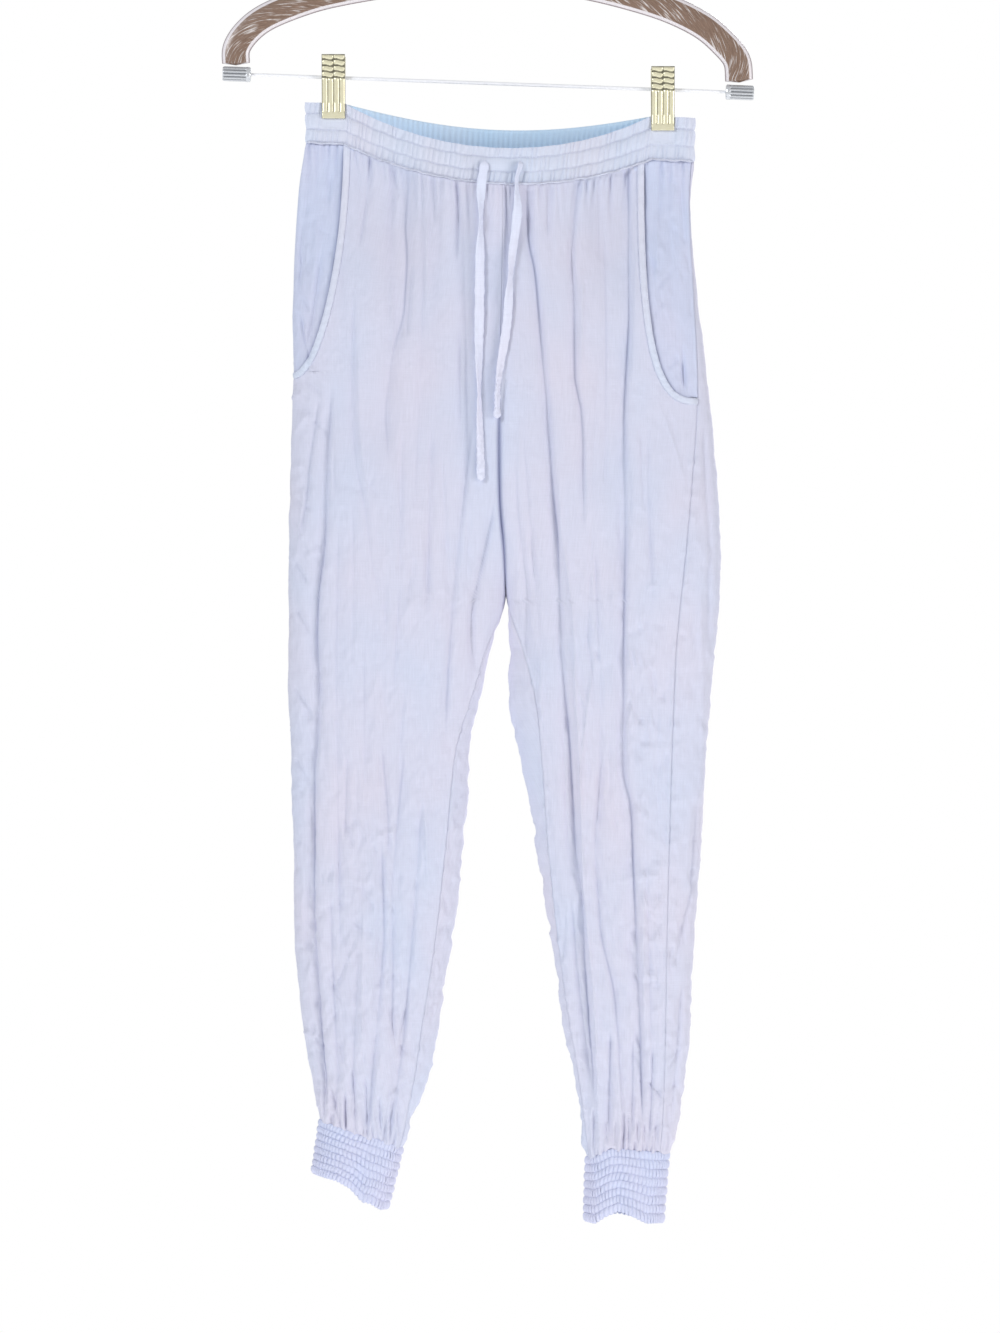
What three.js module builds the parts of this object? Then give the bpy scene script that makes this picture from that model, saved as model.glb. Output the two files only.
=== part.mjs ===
import * as THREE from 'three';
import { mergeVertices } from 'three/addons/utils/BufferGeometryUtils.js';

// Jogger pants in thin woven viscose, hanging flat from a clip hanger. Millimetres, +Z up,
// +X to the wearer's left, -Y to the front. The origin is the inside top of the hanger's hook.

// Cloth
const CLOTH = 1.3;
const CASING = 2.4;
const SEAM_GAP = 0.3;
const HALF_SEAM = 0.17;
const HALF_RISE_GAP = 0.2;
const LAYER_GAP = 1;

// Waist
const WAIST_LEFT_EDGE = 169.5;
const WAIST_RIGHT_EDGE = -164;
const WAIST_LEVEL = -250;
const CLIP_RIGHT_X = -140.5;
const CLIP_LEFT_X = 142.5;
const CLIP_WIDTH = 20;
const PINCHED_HALF = 4.5;
const PINCHED_TOP_HALF = 2.7;
const FRONT_BOW = 27;
const BACK_BOW = 27;
const FRONT_TOP_SAG = 35;
const BACK_TOP_SAG = 14.5;
const FRONT_SEAM_SAG = 29.5;
const BACK_SEAM_SAG = 12;
const WAIST_GATHERS = 56;
const WAIST_FADE = 150;

// Rise and legs
const RISE_CLOSES_FROM = -480;
const CROTCH = -636;
const SECTION_ROUNDNESS = 0.7;
const FRONT_COLUMNS = 18;
const BACK_COLUMNS = 14;
const POCKET_ROWS = 8;
const RISE_LEVELS = [-492, -528, -562, -592, -616, CROTCH];
const LEG_ROWS = 11;
const LEFT_ANKLE = -1111;
const RIGHT_ANKLE = -1094;

// Pockets
const POCKET_EDGE_WIDTH = 6;
const POCKET_EDGE_WALL = 1;
const POCKET_UNDERLAP = 9;
const FACING_COLUMNS = 6;

// Cuffs
const CUFF_GATHERS = 16;
const CUFF_ROWS = 7;
const CUFF_WALL = 2;

// Drawstring
const TIE_WIDTH = 8;
const TIE_THICKNESS = 2.4;
const TIE_SIDES = 8;
const TIE_STEPS = 24;

// Hanger
const HOOK_WIRE = 4.4;
const HOOK_INSIDE_RADIUS = 20;
const ARM_DEPTH = 24;
const ARM_THICKNESS = 9;
const BAR_DIAMETER = 3;
const SOCKET_RADIUS = 6.5;
const SOCKET_LENGTH = 24;
const COLLAR_TOP = -81;
const COLLAR_HEIGHT = 6;
const COLLAR_RADIUS = 5.5;

// Each section of a leg, from the waist to the ankle. outer and inner are its folded edges as it
// hangs, seam the side seam, inseam the inner seam, front and back the half depths.
const LEFT_SECTIONS = [
  { z: -250, outer: 169.5, inner: 5.2, seam: 167, inseam: 5.2, front: 27, back: 27 },
  { z: -292, outer: 166.5, inner: 5.2, seam: 165, inseam: 5.2, front: 28, back: 28 },
  { z: -378, outer: 173, inner: 4.2, seam: 169, inseam: 4.2, front: 30, back: 31 },
  { z: -464, outer: 183, inner: 2.2, seam: 172, inseam: 2.2, front: 31, back: 33 },
  { z: -550, outer: 191, inner: 2.7, seam: 166, inseam: 2.7, front: 31, back: 34 },
  { z: -594, outer: 192.5, inner: 6.2, seam: 162, inseam: 6.2, front: 30, back: 33 },
  { z: -636, outer: 192, inner: 8, seam: 157.5, inseam: 8, front: 29, back: 31 },
  { z: -679, outer: 187.5, inner: 11.5, seam: 153.5, inseam: 22, front: 28, back: 29 },
  { z: -722, outer: 184, inner: 10, seam: 151.5, inseam: 33, front: 27, back: 28 },
  { z: -765, outer: 180.5, inner: 18, seam: 150, inseam: 37.5, front: 26, back: 27 },
  { z: -851, outer: 175.5, inner: 34, seam: 147.5, inseam: 44, front: 25, back: 26 },
  { z: -937, outer: 169.5, inner: 47.5, seam: 145.5, inseam: 53, front: 24, back: 25 },
  { z: -1023, outer: 165, inner: 61, seam: 144, inseam: 66, front: 22, back: 23 },
  { z: -1075, outer: 159, inner: 70, seam: 142.5, inseam: 74, front: 18, back: 19 },
  { z: -1111, outer: 149, inner: 76, seam: 140, inseam: 78.5, front: 14, back: 14 },
];
const RIGHT_SECTIONS = [
  { z: -250, outer: -164, inner: 4.8, seam: -164, inseam: 4.8, front: 27, back: 27 },
  { z: -292, outer: -170.5, inner: 4.8, seam: -170.5, inseam: 4.8, front: 28, back: 28 },
  { z: -378, outer: -175.5, inner: 3.8, seam: -175.5, inseam: 3.8, front: 30, back: 31 },
  { z: -464, outer: -175.5, inner: 1.8, seam: -175.5, inseam: 1.8, front: 31, back: 33 },
  { z: -550, outer: -178.5, inner: 2.3, seam: -178.5, inseam: 2.3, front: 31, back: 34 },
  { z: -594, outer: -179, inner: 5.8, seam: -179, inseam: 5.8, front: 30, back: 33 },
  { z: -636, outer: -179.7, inner: 7.6, seam: -179.7, inseam: 7.6, front: 29, back: 31 },
  { z: -679, outer: -179.7, inner: -5, seam: -179.7, inseam: -9, front: 28, back: 29 },
  { z: -722, outer: -179.5, inner: -15, seam: -179.5, inseam: -22, front: 27, back: 28 },
  { z: -765, outer: -178, inner: -21.5, seam: -178, inseam: -35, front: 26, back: 27 },
  { z: -851, outer: -175.5, inner: -28, seam: -175.5, inseam: -44, front: 25, back: 26 },
  { z: -937, outer: -173.5, inner: -40, seam: -173.5, inseam: -54, front: 24, back: 25 },
  { z: -1023, outer: -164.5, inner: -54.5, seam: -164.5, inseam: -68, front: 22, back: 23 },
  { z: -1066, outer: -157.5, inner: -72, seam: -157.5, inseam: -77, front: 18, back: 19 },
  { z: -1094, outer: -152.5, inner: -81, seam: -152.5, inseam: -83, front: 14, back: 14 },
];

// The front and back rise seam, from the waist to the crotch.
const RISE_LINE = [
  { z: -250, x: 5 }, { z: -292, x: 5 }, { z: -378, x: 4 }, { z: -464, x: 2 },
  { z: -550, x: 2.5 }, { z: -594, x: 6 }, { z: -636, x: 7.8 },
];

// The largest folds of the hanging cloth. Each runs on a curve through its top, its middle and its
// bottom; a minus depth is a trough, a plus depth a ridge, and width is its half width.
const LEFT_FRONT_FOLDS = [
  { xTop: 27, zTop: -262, xMid: 44, xBottom: 52, zBottom: -570, depth: -4.5, width: 8 },
  { xTop: 54, zTop: -580, xMid: 68, xBottom: 84, zBottom: -1060, depth: -5, width: 7 },
  { xTop: 65, zTop: -620, xMid: 78, xBottom: 97, zBottom: -1090, depth: 3, width: 6 },
  { xTop: 71, zTop: -258, xMid: 65, xBottom: 76, zBottom: -520, depth: -4, width: 8 },
  { xTop: 84, zTop: -590, xMid: 88, xBottom: 106, zBottom: -1080, depth: -3.5, width: 7 },
  { xTop: 116, zTop: -268, xMid: 110, xBottom: 108, zBottom: -700, depth: -4.5, width: 8 },
  { xTop: 108, zTop: -720, xMid: 115, xBottom: 125, zBottom: -1098, depth: -4, width: 7 },
  { xTop: 96, zTop: -300, xMid: 92, xBottom: 92, zBottom: -640, depth: 2.5, width: 9 },
];
const RIGHT_FRONT_FOLDS = [
  { xTop: -76, zTop: -258, xMid: -84, xBottom: -92, zBottom: -600, depth: -4.5, width: 9 },
  { xTop: -141, zTop: -470, xMid: -156, xBottom: -150, zBottom: -1060, depth: -5, width: 7 },
  { xTop: -22, zTop: -490, xMid: -36, xBottom: -40, zBottom: -740, depth: -4, width: 7 },
  { xTop: -98, zTop: -760, xMid: -98, xBottom: -110, zBottom: -1090, depth: -5, width: 7 },
  { xTop: -56, zTop: -500, xMid: -61, xBottom: -62, zBottom: -900, depth: -3, width: 8 },
  { xTop: -109, zTop: -255, xMid: -115, xBottom: -118, zBottom: -420, depth: -3, width: 7 },
  { xTop: -46, zTop: -262, xMid: -44, xBottom: -40, zBottom: -400, depth: -3, width: 7 },
  { xTop: -118, zTop: -620, xMid: -124, xBottom: -128, zBottom: -1000, depth: 2.5, width: 9 },
];
const LEFT_BACK_FOLDS = [
  { xTop: 34, zTop: -258, xMid: 44, xBottom: 48, zBottom: -560, depth: -4.5, width: 10 },
  { xTop: 82, zTop: -256, xMid: 86, xBottom: 80, zBottom: -640, depth: -4.5, width: 10 },
  { xTop: 124, zTop: -256, xMid: 128, xBottom: 122, zBottom: -560, depth: -4, width: 9 },
  { xTop: 70, zTop: -680, xMid: 84, xBottom: 98, zBottom: -1085, depth: -4.5, width: 9 },
  { xTop: 122, zTop: -700, xMid: 124, xBottom: 126, zBottom: -1085, depth: -4, width: 9 },
];
const RIGHT_BACK_FOLDS = [
  { xTop: -30, zTop: -258, xMid: -36, xBottom: -42, zBottom: -540, depth: -4.5, width: 10 },
  { xTop: -72, zTop: -254, xMid: -80, xBottom: -78, zBottom: -660, depth: -4.5, width: 10 },
  { xTop: -122, zTop: -252, xMid: -130, xBottom: -134, zBottom: -600, depth: -4, width: 9 },
  { xTop: -70, zTop: -700, xMid: -88, xBottom: -104, zBottom: -1070, depth: -4.5, width: 9 },
  { xTop: -130, zTop: -680, xMid: -136, xBottom: -130, zBottom: -1060, depth: -4, width: 9 },
];

// The scooped pocket mouths: top and bottom of the cut edge, and how square the scoop is.
const LEFT_POCKET = { xTop: 126.5, zBottom: -463.5, roundness: 3 };
const RIGHT_POCKET = { xTop: -132, zBottom: -441, roundness: 1.8 };

// Rows of the waistband from its top edge down: share of its height, puff and depth of gather.
const WAISTBAND_ROWS = [
  { name: 'top edge', share: 0, puff: 0.2, gather: 0.8 },
  { name: 'elastic seam', share: 0.25, puff: -0.3, gather: 0.2 },
  { name: 'drawstring channel', share: 0.46, puff: 1.5, gather: 0.6 },
  { name: 'channel seam', share: 0.67, puff: -0.3, gather: 0.2 },
  { name: 'lower band', share: 0.84, puff: 0.7, gather: 0.5 },
  { name: 'waist seam', share: 1, puff: 0, gather: 0.1 },
];

// The four corners of each cuff as it hangs, and its half depths.
const LEFT_CUFF = {
  innerTop: [77.4, -1114.6], outerTop: [147, -1110.2], innerBottom: [75.7, -1169.5],
  outerBottom: [142, -1171.3], topDepth: 13, bottomDepth: 15,
};
const RIGHT_CUFF = {
  innerTop: [-81.7, -1106.8], outerTop: [-151.4, -1082.8], innerBottom: [-94.6, -1159.3],
  outerBottom: [-158.2, -1128.3], topDepth: 13, bottomDepth: 15,
};

const LEFT = {
  name: 'left', sign: 1, sections: LEFT_SECTIONS, pocket: LEFT_POCKET, ankle: LEFT_ANKLE,
  cuff: LEFT_CUFF, frontFolds: LEFT_FRONT_FOLDS, backFolds: LEFT_BACK_FOLDS,
};
const RIGHT = {
  name: 'right', sign: -1, sections: RIGHT_SECTIONS, pocket: RIGHT_POCKET, ankle: RIGHT_ANKLE,
  cuff: RIGHT_CUFF, frontFolds: RIGHT_FRONT_FOLDS, backFolds: RIGHT_BACK_FOLDS,
};

// Finishes
const CLOTH_FINISH = { color: 0xd8dbee, roughness: 0.85, metalness: 0 };
const POCKET_FINISH = { color: 0xcbd4e9, roughness: 0.85, metalness: 0 };
const ARM_FINISH = { color: 0x9c7863, roughness: 0.3, metalness: 0 };
const STEEL_FINISH = { color: 0xc8c8c8, roughness: 0.25, metalness: 1 };
const GOLD_FINISH = { color: 0xd9cfa0, roughness: 0.3, metalness: 1 };

const group = new THREE.Group();

function addPiece(name, geometry, finish) {
  const mesh = new THREE.Mesh(geometry, new THREE.MeshStandardMaterial(finish));
  mesh.name = name;
  group.add(mesh);
  return mesh;
}

const mix = (a, b, t) => a + (b - a) * t;

function easeBetween(from, to, value) {
  const t = Math.min(1, Math.max(0, (value - from) / (to - from)));
  return t * t * (3 - 2 * t);
}

// A column of a section table at height z, on a smooth curve through its rows.
function lookUp(rows, column, z) {
  const last = rows.length - 1;
  if (z >= rows[0].z) return rows[0][column];
  if (z <= rows[last].z) return rows[last][column];
  const i = rows.findIndex((row, k) => k < last && rows[k + 1].z <= z);
  const span = rows[i + 1].z - rows[i].z;
  const t = (z - rows[i].z) / span;
  const slopeAt = (k) => {
    const before = rows[Math.max(0, k - 1)];
    const after = rows[Math.min(last, k + 1)];
    return (after[column] - before[column]) / (after.z - before.z);
  };
  const start = slopeAt(i) * span;
  const end = slopeAt(i + 1) * span;
  const p = rows[i][column];
  const q = rows[i + 1][column];
  return (2 * t ** 3 - 3 * t ** 2 + 1) * p + (t ** 3 - 2 * t ** 2 + t) * start
    + (3 * t ** 2 - 2 * t ** 3) * q + (t ** 3 - t ** 2) * end;
}

// Place between the two clips, from -1 at the right clip to 1 at the left one.
function betweenClips(x) {
  const middle = (CLIP_LEFT_X + CLIP_RIGHT_X) / 2;
  const half = (CLIP_LEFT_X - CLIP_RIGHT_X - CLIP_WIDTH) / 2;
  return Math.min(1, Math.max(-1, (x - middle) / half));
}

// How far the waist bows out of its pinched plane, 0 at the clips and 1 half way between them.
const bowAt = (x) => (1 - betweenClips(x) ** 2) ** 2;

const alongWaist = (x) => (x - WAIST_RIGHT_EDGE) / (WAIST_LEFT_EDGE - WAIST_RIGHT_EDGE);

// Height of the waist seam and of the waistband's top edge; the front sags more than the back.
function waistSeamHeight(x, front) {
  const sag = front ? FRONT_SEAM_SAG : BACK_SEAM_SAG;
  return mix(-243.4, -259.7, alongWaist(x)) - sag * (1 - betweenClips(x) ** 2);
}

function waistTopHeight(x, front) {
  const sag = front ? FRONT_TOP_SAG : BACK_TOP_SAG;
  return mix(-208.5, -222, alongWaist(x)) - sag * (1 - betweenClips(x) ** 2);
}

// The section of a half trunk ends at the rise at 90 degrees; from there down to the crotch it
// closes to 180 degrees, where front and back meet.
function closingAngle(z) {
  const t = Math.min(1, Math.max(0, (RISE_CLOSES_FROM - z) / (RISE_CLOSES_FROM - CROTCH)));
  return (Math.PI / 2) * (1 + t ** 1.3);
}

// A leg's inner edge: the rise seam down to the crotch, then its own inner fold.
function innerEdge(leg, z) {
  if (z >= CROTCH) return lookUp(RISE_LINE, 'x', z) + leg.sign * HALF_RISE_GAP;
  return lookUp(leg.sections, 'inner', z);
}

// Point of a leg's section at height z. angle 0 is the outer fold, plus angles are the front.
function sectionPoint(leg, z, angle) {
  const outer = lookUp(leg.sections, 'outer', z);
  const inner = innerEdge(leg, z);
  const x = outer + (inner - outer) * (1 - Math.cos(angle)) / (1 - Math.cos(closingAngle(z)));
  const sine = Math.sin(angle);
  const front = sine > 0;
  const swell = Math.abs(sine) ** SECTION_ROUNDNESS;
  const full = lookUp(leg.sections, front ? 'front' : 'back', z) * swell;
  const edge = Math.abs(sine) ** 0.3;
  const pinched = PINCHED_HALF * edge + (front ? FRONT_BOW : BACK_BOW) * bowAt(x);
  const half = mix(pinched, full, easeBetween(WAIST_LEVEL, WAIST_LEVEL - WAIST_FADE, z));
  return new THREE.Vector2(x, front ? -half : half);
}

// Angle at which a leg's section has the given x on its front.
function angleAt(leg, z, x) {
  const outer = lookUp(leg.sections, 'outer', z);
  const inner = innerEdge(leg, z);
  const reach = (x - outer) / (inner - outer) * (1 - Math.cos(closingAngle(z)));
  return Math.acos(Math.min(1, Math.max(-1, 1 - reach)));
}

// The pocket's cut edge runs down from the waist and scoops out to the side seam.
function pocketEdgeX(leg, z) {
  const { xTop, zBottom, roundness } = leg.pocket;
  const down = Math.min(1, Math.max(0, (WAIST_LEVEL - z) / (WAIST_LEVEL - zBottom)));
  const out = 1 - (1 - down ** roundness) ** (1 / roundness);
  return mix(xTop, lookUp(leg.sections, 'seam', z), out);
}

const seamAngle = (leg, z) => angleAt(leg, z, lookUp(leg.sections, 'seam', z));

function inseamAngle(leg, z) {
  return z >= CROTCH ? closingAngle(z) : angleAt(leg, z, lookUp(leg.sections, 'inseam', z));
}

// Heights of a leg's rows, closest at the bottom of the pocket and above the ankle.
function levelsOf(leg) {
  const levels = [];
  for (let k = 0; k <= POCKET_ROWS; k += 1) {
    const left = (1 - k / POCKET_ROWS) ** 2.2;
    levels.push(mix(leg.pocket.zBottom, WAIST_LEVEL, left));
  }
  levels.push(...RISE_LEVELS);
  for (let k = 1; k <= LEG_ROWS; k += 1) {
    levels.push(mix(leg.ankle, CROTCH, (1 - k / LEG_ROWS) ** 1.2));
  }
  return levels;
}

// Rows follow the waist seam at the top and the cuff at the bottom, and are level between.
function rowShift(leg, x, z, front) {
  const top = waistSeamHeight(x, front) - SEAM_GAP - WAIST_LEVEL;
  const [innerX, innerZ] = leg.cuff.innerTop;
  const [outerX, outerZ] = leg.cuff.outerTop;
  const cuffTop = mix(innerZ, outerZ, (x - innerX) / (outerX - innerX)) + SEAM_GAP + 0.5;
  const ankleShift = cuffTop - leg.ankle;
  return top * easeBetween(WAIST_LEVEL - WAIST_FADE, WAIST_LEVEL, z)
    + ankleShift * easeBetween(leg.ankle + 110, leg.ankle, z);
}

function foldDepth(folds, x, z) {
  let depth = 0;
  for (const fold of folds) {
    const down = (fold.zTop - z) / (fold.zTop - fold.zBottom);
    if (down <= 0 || down >= 1) continue;
    const bend = 2 * fold.xMid - (fold.xTop + fold.xBottom) / 2;
    const centre = (1 - down) ** 2 * fold.xTop + 2 * down * (1 - down) * bend
      + down ** 2 * fold.xBottom;
    const fade = easeBetween(0, 0.12, down) * easeBetween(0, 0.15, 1 - down);
    depth += fold.depth * fade * Math.exp(-(((x - centre) / fold.width) ** 2));
  }
  return depth;
}

// Points at the given shares of a section's length between two angles, seam gaps taken off.
function spacedAlong(leg, z, from, to, shares) {
  const steps = 90;
  const points = [];
  const lengths = [0];
  for (let k = 0; k <= steps; k += 1) {
    points.push(sectionPoint(leg, z, mix(from, to, k / steps)));
    if (k > 0) lengths.push(lengths[k - 1] + points[k].distanceTo(points[k - 1]));
  }
  const total = lengths[steps];
  return shares(total).map((length) => {
    let k = 1;
    while (k < steps && lengths[k] < length) k += 1;
    const t = (length - lengths[k - 1]) / (lengths[k] - lengths[k - 1]);
    const place = points[k - 1].clone().lerp(points[k], t);
    return { x: place.x, y: place.y, along: points[k].clone().sub(points[k - 1]).normalize() };
  });
}

// Normals of a grid of points. The first and last columns turn with the section itself there, so
// the ends of two walls that meet at a seam stay parallel.
function gridNormals(grid, facing, ends) {
  return grid.map((row, r) => row.map((point, c) => {
    const above = grid[Math.max(0, r - 1)][c];
    const below = grid[Math.min(grid.length - 1, r + 1)][c];
    const last = row.length - 1;
    const across = row[Math.min(last, c + 1)].clone().sub(row[Math.max(0, c - 1)]);
    if (c === 0 || c === last) {
      const along = ends[r][c === 0 ? 0 : 1];
      across.set(along.x, along.y, 0);
    }
    const down = below.clone().sub(above);
    return across.cross(down).normalize().multiplyScalar(facing);
  }));
}

const movedOut = (grid, normals, distance) => grid.map((row, r) => row.map(
  (point, c) => point.clone().addScaledVector(normals[r][c], distance)));

function geometryFrom(vertices, faces) {
  const positions = new Float32Array(vertices.flatMap((v) => [v.x, v.y, v.z]));
  let geometry = new THREE.BufferGeometry();
  geometry.setAttribute('position', new THREE.BufferAttribute(positions, 3));
  let volume = 0;
  for (const [a, b, c] of faces) {
    volume += vertices[a].dot(new THREE.Vector3().crossVectors(vertices[b], vertices[c]));
  }
  const outward = volume > 0 ? faces : faces.map(([a, b, c]) => [a, c, b]);
  geometry.setIndex(outward.flat());
  geometry = mergeVertices(geometry, 1e-4);
  geometry.computeVertexNormals();
  return geometry;
}

// A wall between an outer and an inner skin with the same rows and columns.
function wall(outer, inner) {
  const rows = outer.length;
  const columns = outer[0].length;
  const vertices = [...outer.flat(), ...inner.flat()];
  const at = (skin, r, c) => skin * rows * columns + r * columns + c;
  const faces = [];
  const quad = (a, b, c, d) => faces.push([a, b, c], [a, c, d]);
  for (let r = 0; r < rows - 1; r += 1) {
    for (let c = 0; c < columns - 1; c += 1) {
      quad(at(0, r, c), at(0, r + 1, c), at(0, r + 1, c + 1), at(0, r, c + 1));
      quad(at(1, r, c), at(1, r, c + 1), at(1, r + 1, c + 1), at(1, r + 1, c));
    }
  }
  for (let c = 0; c < columns - 1; c += 1) {
    quad(at(0, 0, c), at(0, 0, c + 1), at(1, 0, c + 1), at(1, 0, c));
    quad(at(0, rows - 1, c + 1), at(0, rows - 1, c), at(1, rows - 1, c), at(1, rows - 1, c + 1));
  }
  for (let r = 0; r < rows - 1; r += 1) {
    quad(at(0, r + 1, 0), at(0, r, 0), at(1, r, 0), at(1, r + 1, 0));
    quad(at(0, r, columns - 1), at(0, r + 1, columns - 1), at(1, r + 1, columns - 1),
      at(1, r, columns - 1));
  }
  return geometryFrom(vertices, faces);
}

// A solid swept through like profiles, closed into a ring or capped at both ends. Its caps are
// filled in the plane of the two named axes.
function sweep(profiles, ring, capAxes) {
  const count = profiles[0].length;
  const vertices = profiles.flat();
  const faces = [];
  const spans = ring ? profiles.length : profiles.length - 1;
  for (let s = 0; s < spans; s += 1) {
    const next = (s + 1) % profiles.length;
    for (let k = 0; k < count; k += 1) {
      const a = s * count + k;
      const b = s * count + (k + 1) % count;
      const c = next * count + (k + 1) % count;
      const d = next * count + k;
      faces.push([a, b, c], [a, c, d]);
    }
  }
  if (!ring) {
    for (const end of [0, profiles.length - 1]) {
      const outline = profiles[end].map((v) => new THREE.Vector2(v[capAxes[0]], v[capAxes[1]]));
      const turned = THREE.ShapeUtils.area(outline) < 0;
      for (const [a, b, c] of THREE.ShapeUtils.triangulateShape(outline, [])) {
        const i = end * count;
        const flip = (end === 0) !== turned;
        faces.push(flip ? [i + a, i + c, i + b] : [i + a, i + b, i + c]);
      }
    }
  }
  return geometryFrom(vertices, faces);
}

// One leg panel's outer skin, row by row, with its folds pressed in or raised.
function panelSkin(leg, front, levels) {
  const columns = front ? FRONT_COLUMNS : BACK_COLUMNS;
  const folds = front ? leg.frontFolds : leg.backFolds;
  const facing = leg.sign * (front ? 1 : -1);
  const distances = [];
  const ends = [];
  const flat = levels.map((z) => {
    const seam = seamAngle(leg, z);
    const inPocket = front && z > leg.pocket.zBottom + 0.01;
    const start = inPocket ? angleAt(leg, z, pocketEdgeX(leg, z)) : seam;
    const toInseam = inseamAngle(leg, z);
    const inseamSpan = z >= CROTCH ? toInseam : 2 * Math.PI - toInseam;
    const end = front ? toInseam : -inseamSpan;
    const closesRise = z > CROTCH;
    const shares = (total) => {
      const last = total - (closesRise ? 0 : HALF_SEAM);
      const first = HALF_SEAM;
      const lengths = [first];
      const second = front ? POCKET_EDGE_WIDTH : (last - first) / columns;
      for (let c = 1; c <= columns; c += 1) {
        lengths.push(mix(first + second, last, (c - 1) / (columns - 1)));
      }
      distances.push(lengths.map((length) => Math.min(length - (inPocket ? -12 : 0), total - length)));
      return lengths;
    };
    const places = spacedAlong(leg, z, start, end, shares);
    ends.push([places[0].along, places[places.length - 1].along]);
    return places.map((p) => new THREE.Vector3(p.x, p.y, z + rowShift(leg, p.x, z, p.y < 0)));
  });
  const normals = gridNormals(flat, facing, ends);
  const skin = flat.map((row, r) => row.map((point, c) => {
    const hold = easeBetween(0, 10, distances[r][c]);
    const shaped = foldDepth(folds, point.x, point.z) * hold;
    const sameSide = front ? point.y < 0 : point.y > 0;
    return point.clone().addScaledVector(normals[r][c], sameSide ? shaped : 0);
  }));
  return { skin, normals: gridNormals(skin, facing, ends) };
}

// The front pocket's under layer: level with the side seam, then sinking under the panel's edge.
function pocketFacing(leg, levels) {
  const rows = levels.filter((z) => z > leg.pocket.zBottom + 0.01);
  const sinks = [];
  const ends = [];
  const flat = rows.map((z) => {
    const edge = angleAt(leg, z, pocketEdgeX(leg, z));
    const seam = seamAngle(leg, z);
    let reach = 0;
    spacedAlong(leg, z, seam, edge, (total) => {
      reach = total;
      return [total];
    });
    const shares = (total) => {
      const last = Math.min(total, reach + POCKET_UNDERLAP);
      const lengths = [];
      for (let c = 0; c <= FACING_COLUMNS; c += 1) {
        lengths.push(mix(HALF_SEAM, last, c / FACING_COLUMNS));
      }
      sinks.push(lengths.map((length) => easeBetween(0, 0.6 * reach, length)));
      return lengths;
    };
    const places = spacedAlong(leg, z, seam, Math.PI / 2, shares);
    ends.push([places[0].along, places[places.length - 1].along]);
    return places.map((p) => new THREE.Vector3(p.x, p.y, z + rowShift(leg, p.x, z, true)));
  });
  const normals = gridNormals(flat, leg.sign, ends);
  const skin = flat.map((row, r) => row.map((point, c) => {
    const fold = foldDepth(leg.frontFolds, point.x, point.z);
    const sink = (CLOTH + LAYER_GAP) * sinks[r][c];
    return point.clone().addScaledVector(normals[r][c], fold * sinks[r][c] - sink);
  }));
  const inner = movedOut(skin, gridNormals(skin, leg.sign, ends), -POCKET_EDGE_WALL);
  addPiece(`pocket_facing_${leg.name}`, wall(skin, inner), POCKET_FINISH);
}

// The narrow stitched edge of the pocket mouth, made from the panel's own points, moved out.
function pocketEdge(leg, panel) {
  const strip = panel.skin.slice(0, POCKET_ROWS + 1).map((row) => row.slice(0, 2));
  const out = panel.normals.slice(0, POCKET_ROWS + 1).map((row) => row.slice(0, 2));
  const under = movedOut(strip, out, SEAM_GAP);
  const over = movedOut(strip, out, SEAM_GAP + POCKET_EDGE_WALL);
  addPiece(`pocket_edge_${leg.name}`, wall(over, under), CLOTH_FINISH);
}

function legPieces(leg) {
  const levels = levelsOf(leg);
  const front = panelSkin(leg, true, levels);
  const back = panelSkin(leg, false, levels);
  const frontInside = movedOut(front.skin, front.normals, -CLOTH);
  const backInside = movedOut(back.skin, back.normals, -CLOTH);
  addPiece(`front_${leg.name}`, wall(front.skin, frontInside), CLOTH_FINISH);
  addPiece(`back_${leg.name}`, wall(back.skin, backInside), CLOTH_FINISH);
  pocketFacing(leg, levels);
  pocketEdge(leg, front);
}

// Evenly raised and sunk gathers, a little uneven in height.
const gatherAt = (k) => (k % 2 ? 1 : -1) * (0.8 + 0.2 * Math.sin(k * 2.3));

// Half of the gathered waistband: shirred edge, puffed drawstring channel and lower band outside,
// plain inside.
function waistband(name, front) {
  const columns = WAIST_GATHERS * 2;
  const out = front ? -1 : 1;
  const profiles = [];
  for (let k = 0; k <= columns; k += 1) {
    const share = k / columns;
    const x = mix(WAIST_RIGHT_EDGE, WAIST_LEFT_EDGE, share);
    const top = waistTopHeight(x, front);
    const bottom = waistSeamHeight(x, front);
    const bow = (front ? FRONT_BOW : BACK_BOW) * bowAt(x);
    const end = easeBetween(0, 5, Math.min(x - WAIST_RIGHT_EDGE, WAIST_LEFT_EDGE - x));
    const fromClip = Math.min(Math.abs(x - CLIP_LEFT_X), Math.abs(x - CLIP_RIGHT_X));
    const clipFree = easeBetween(CLIP_WIDTH / 2 + 1, CLIP_WIDTH / 2 + 8, fromClip);
    const tieFree = easeBetween(13, 18, Math.abs(x - 5));
    const profile = WAISTBAND_ROWS.map((row) => {
      const held = row.share < 0.6 ? clipFree : 1;
      const gather = gatherAt(k) * row.gather * (row.share < 0.6 ? tieFree : 1);
      const half = mix(PINCHED_TOP_HALF, PINCHED_HALF - 0.4, row.share) + bow;
      const raised = held * (row.puff + gather) * mix(0.3, 1, end) - 0.9 * (1 - end);
      return new THREE.Vector3(x, out * (half + raised), mix(top, bottom, row.share));
    });
    for (const share of [1, 0]) {
      const half = mix(PINCHED_TOP_HALF, PINCHED_HALF - 0.4, share) + bow;
      profile.push(new THREE.Vector3(x, out * (half - CASING), mix(top, bottom, share)));
    }
    profiles.push(profile);
  }
  addPiece(name, sweep(profiles, false, ['y', 'z']), CLOTH_FINISH);
}

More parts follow.
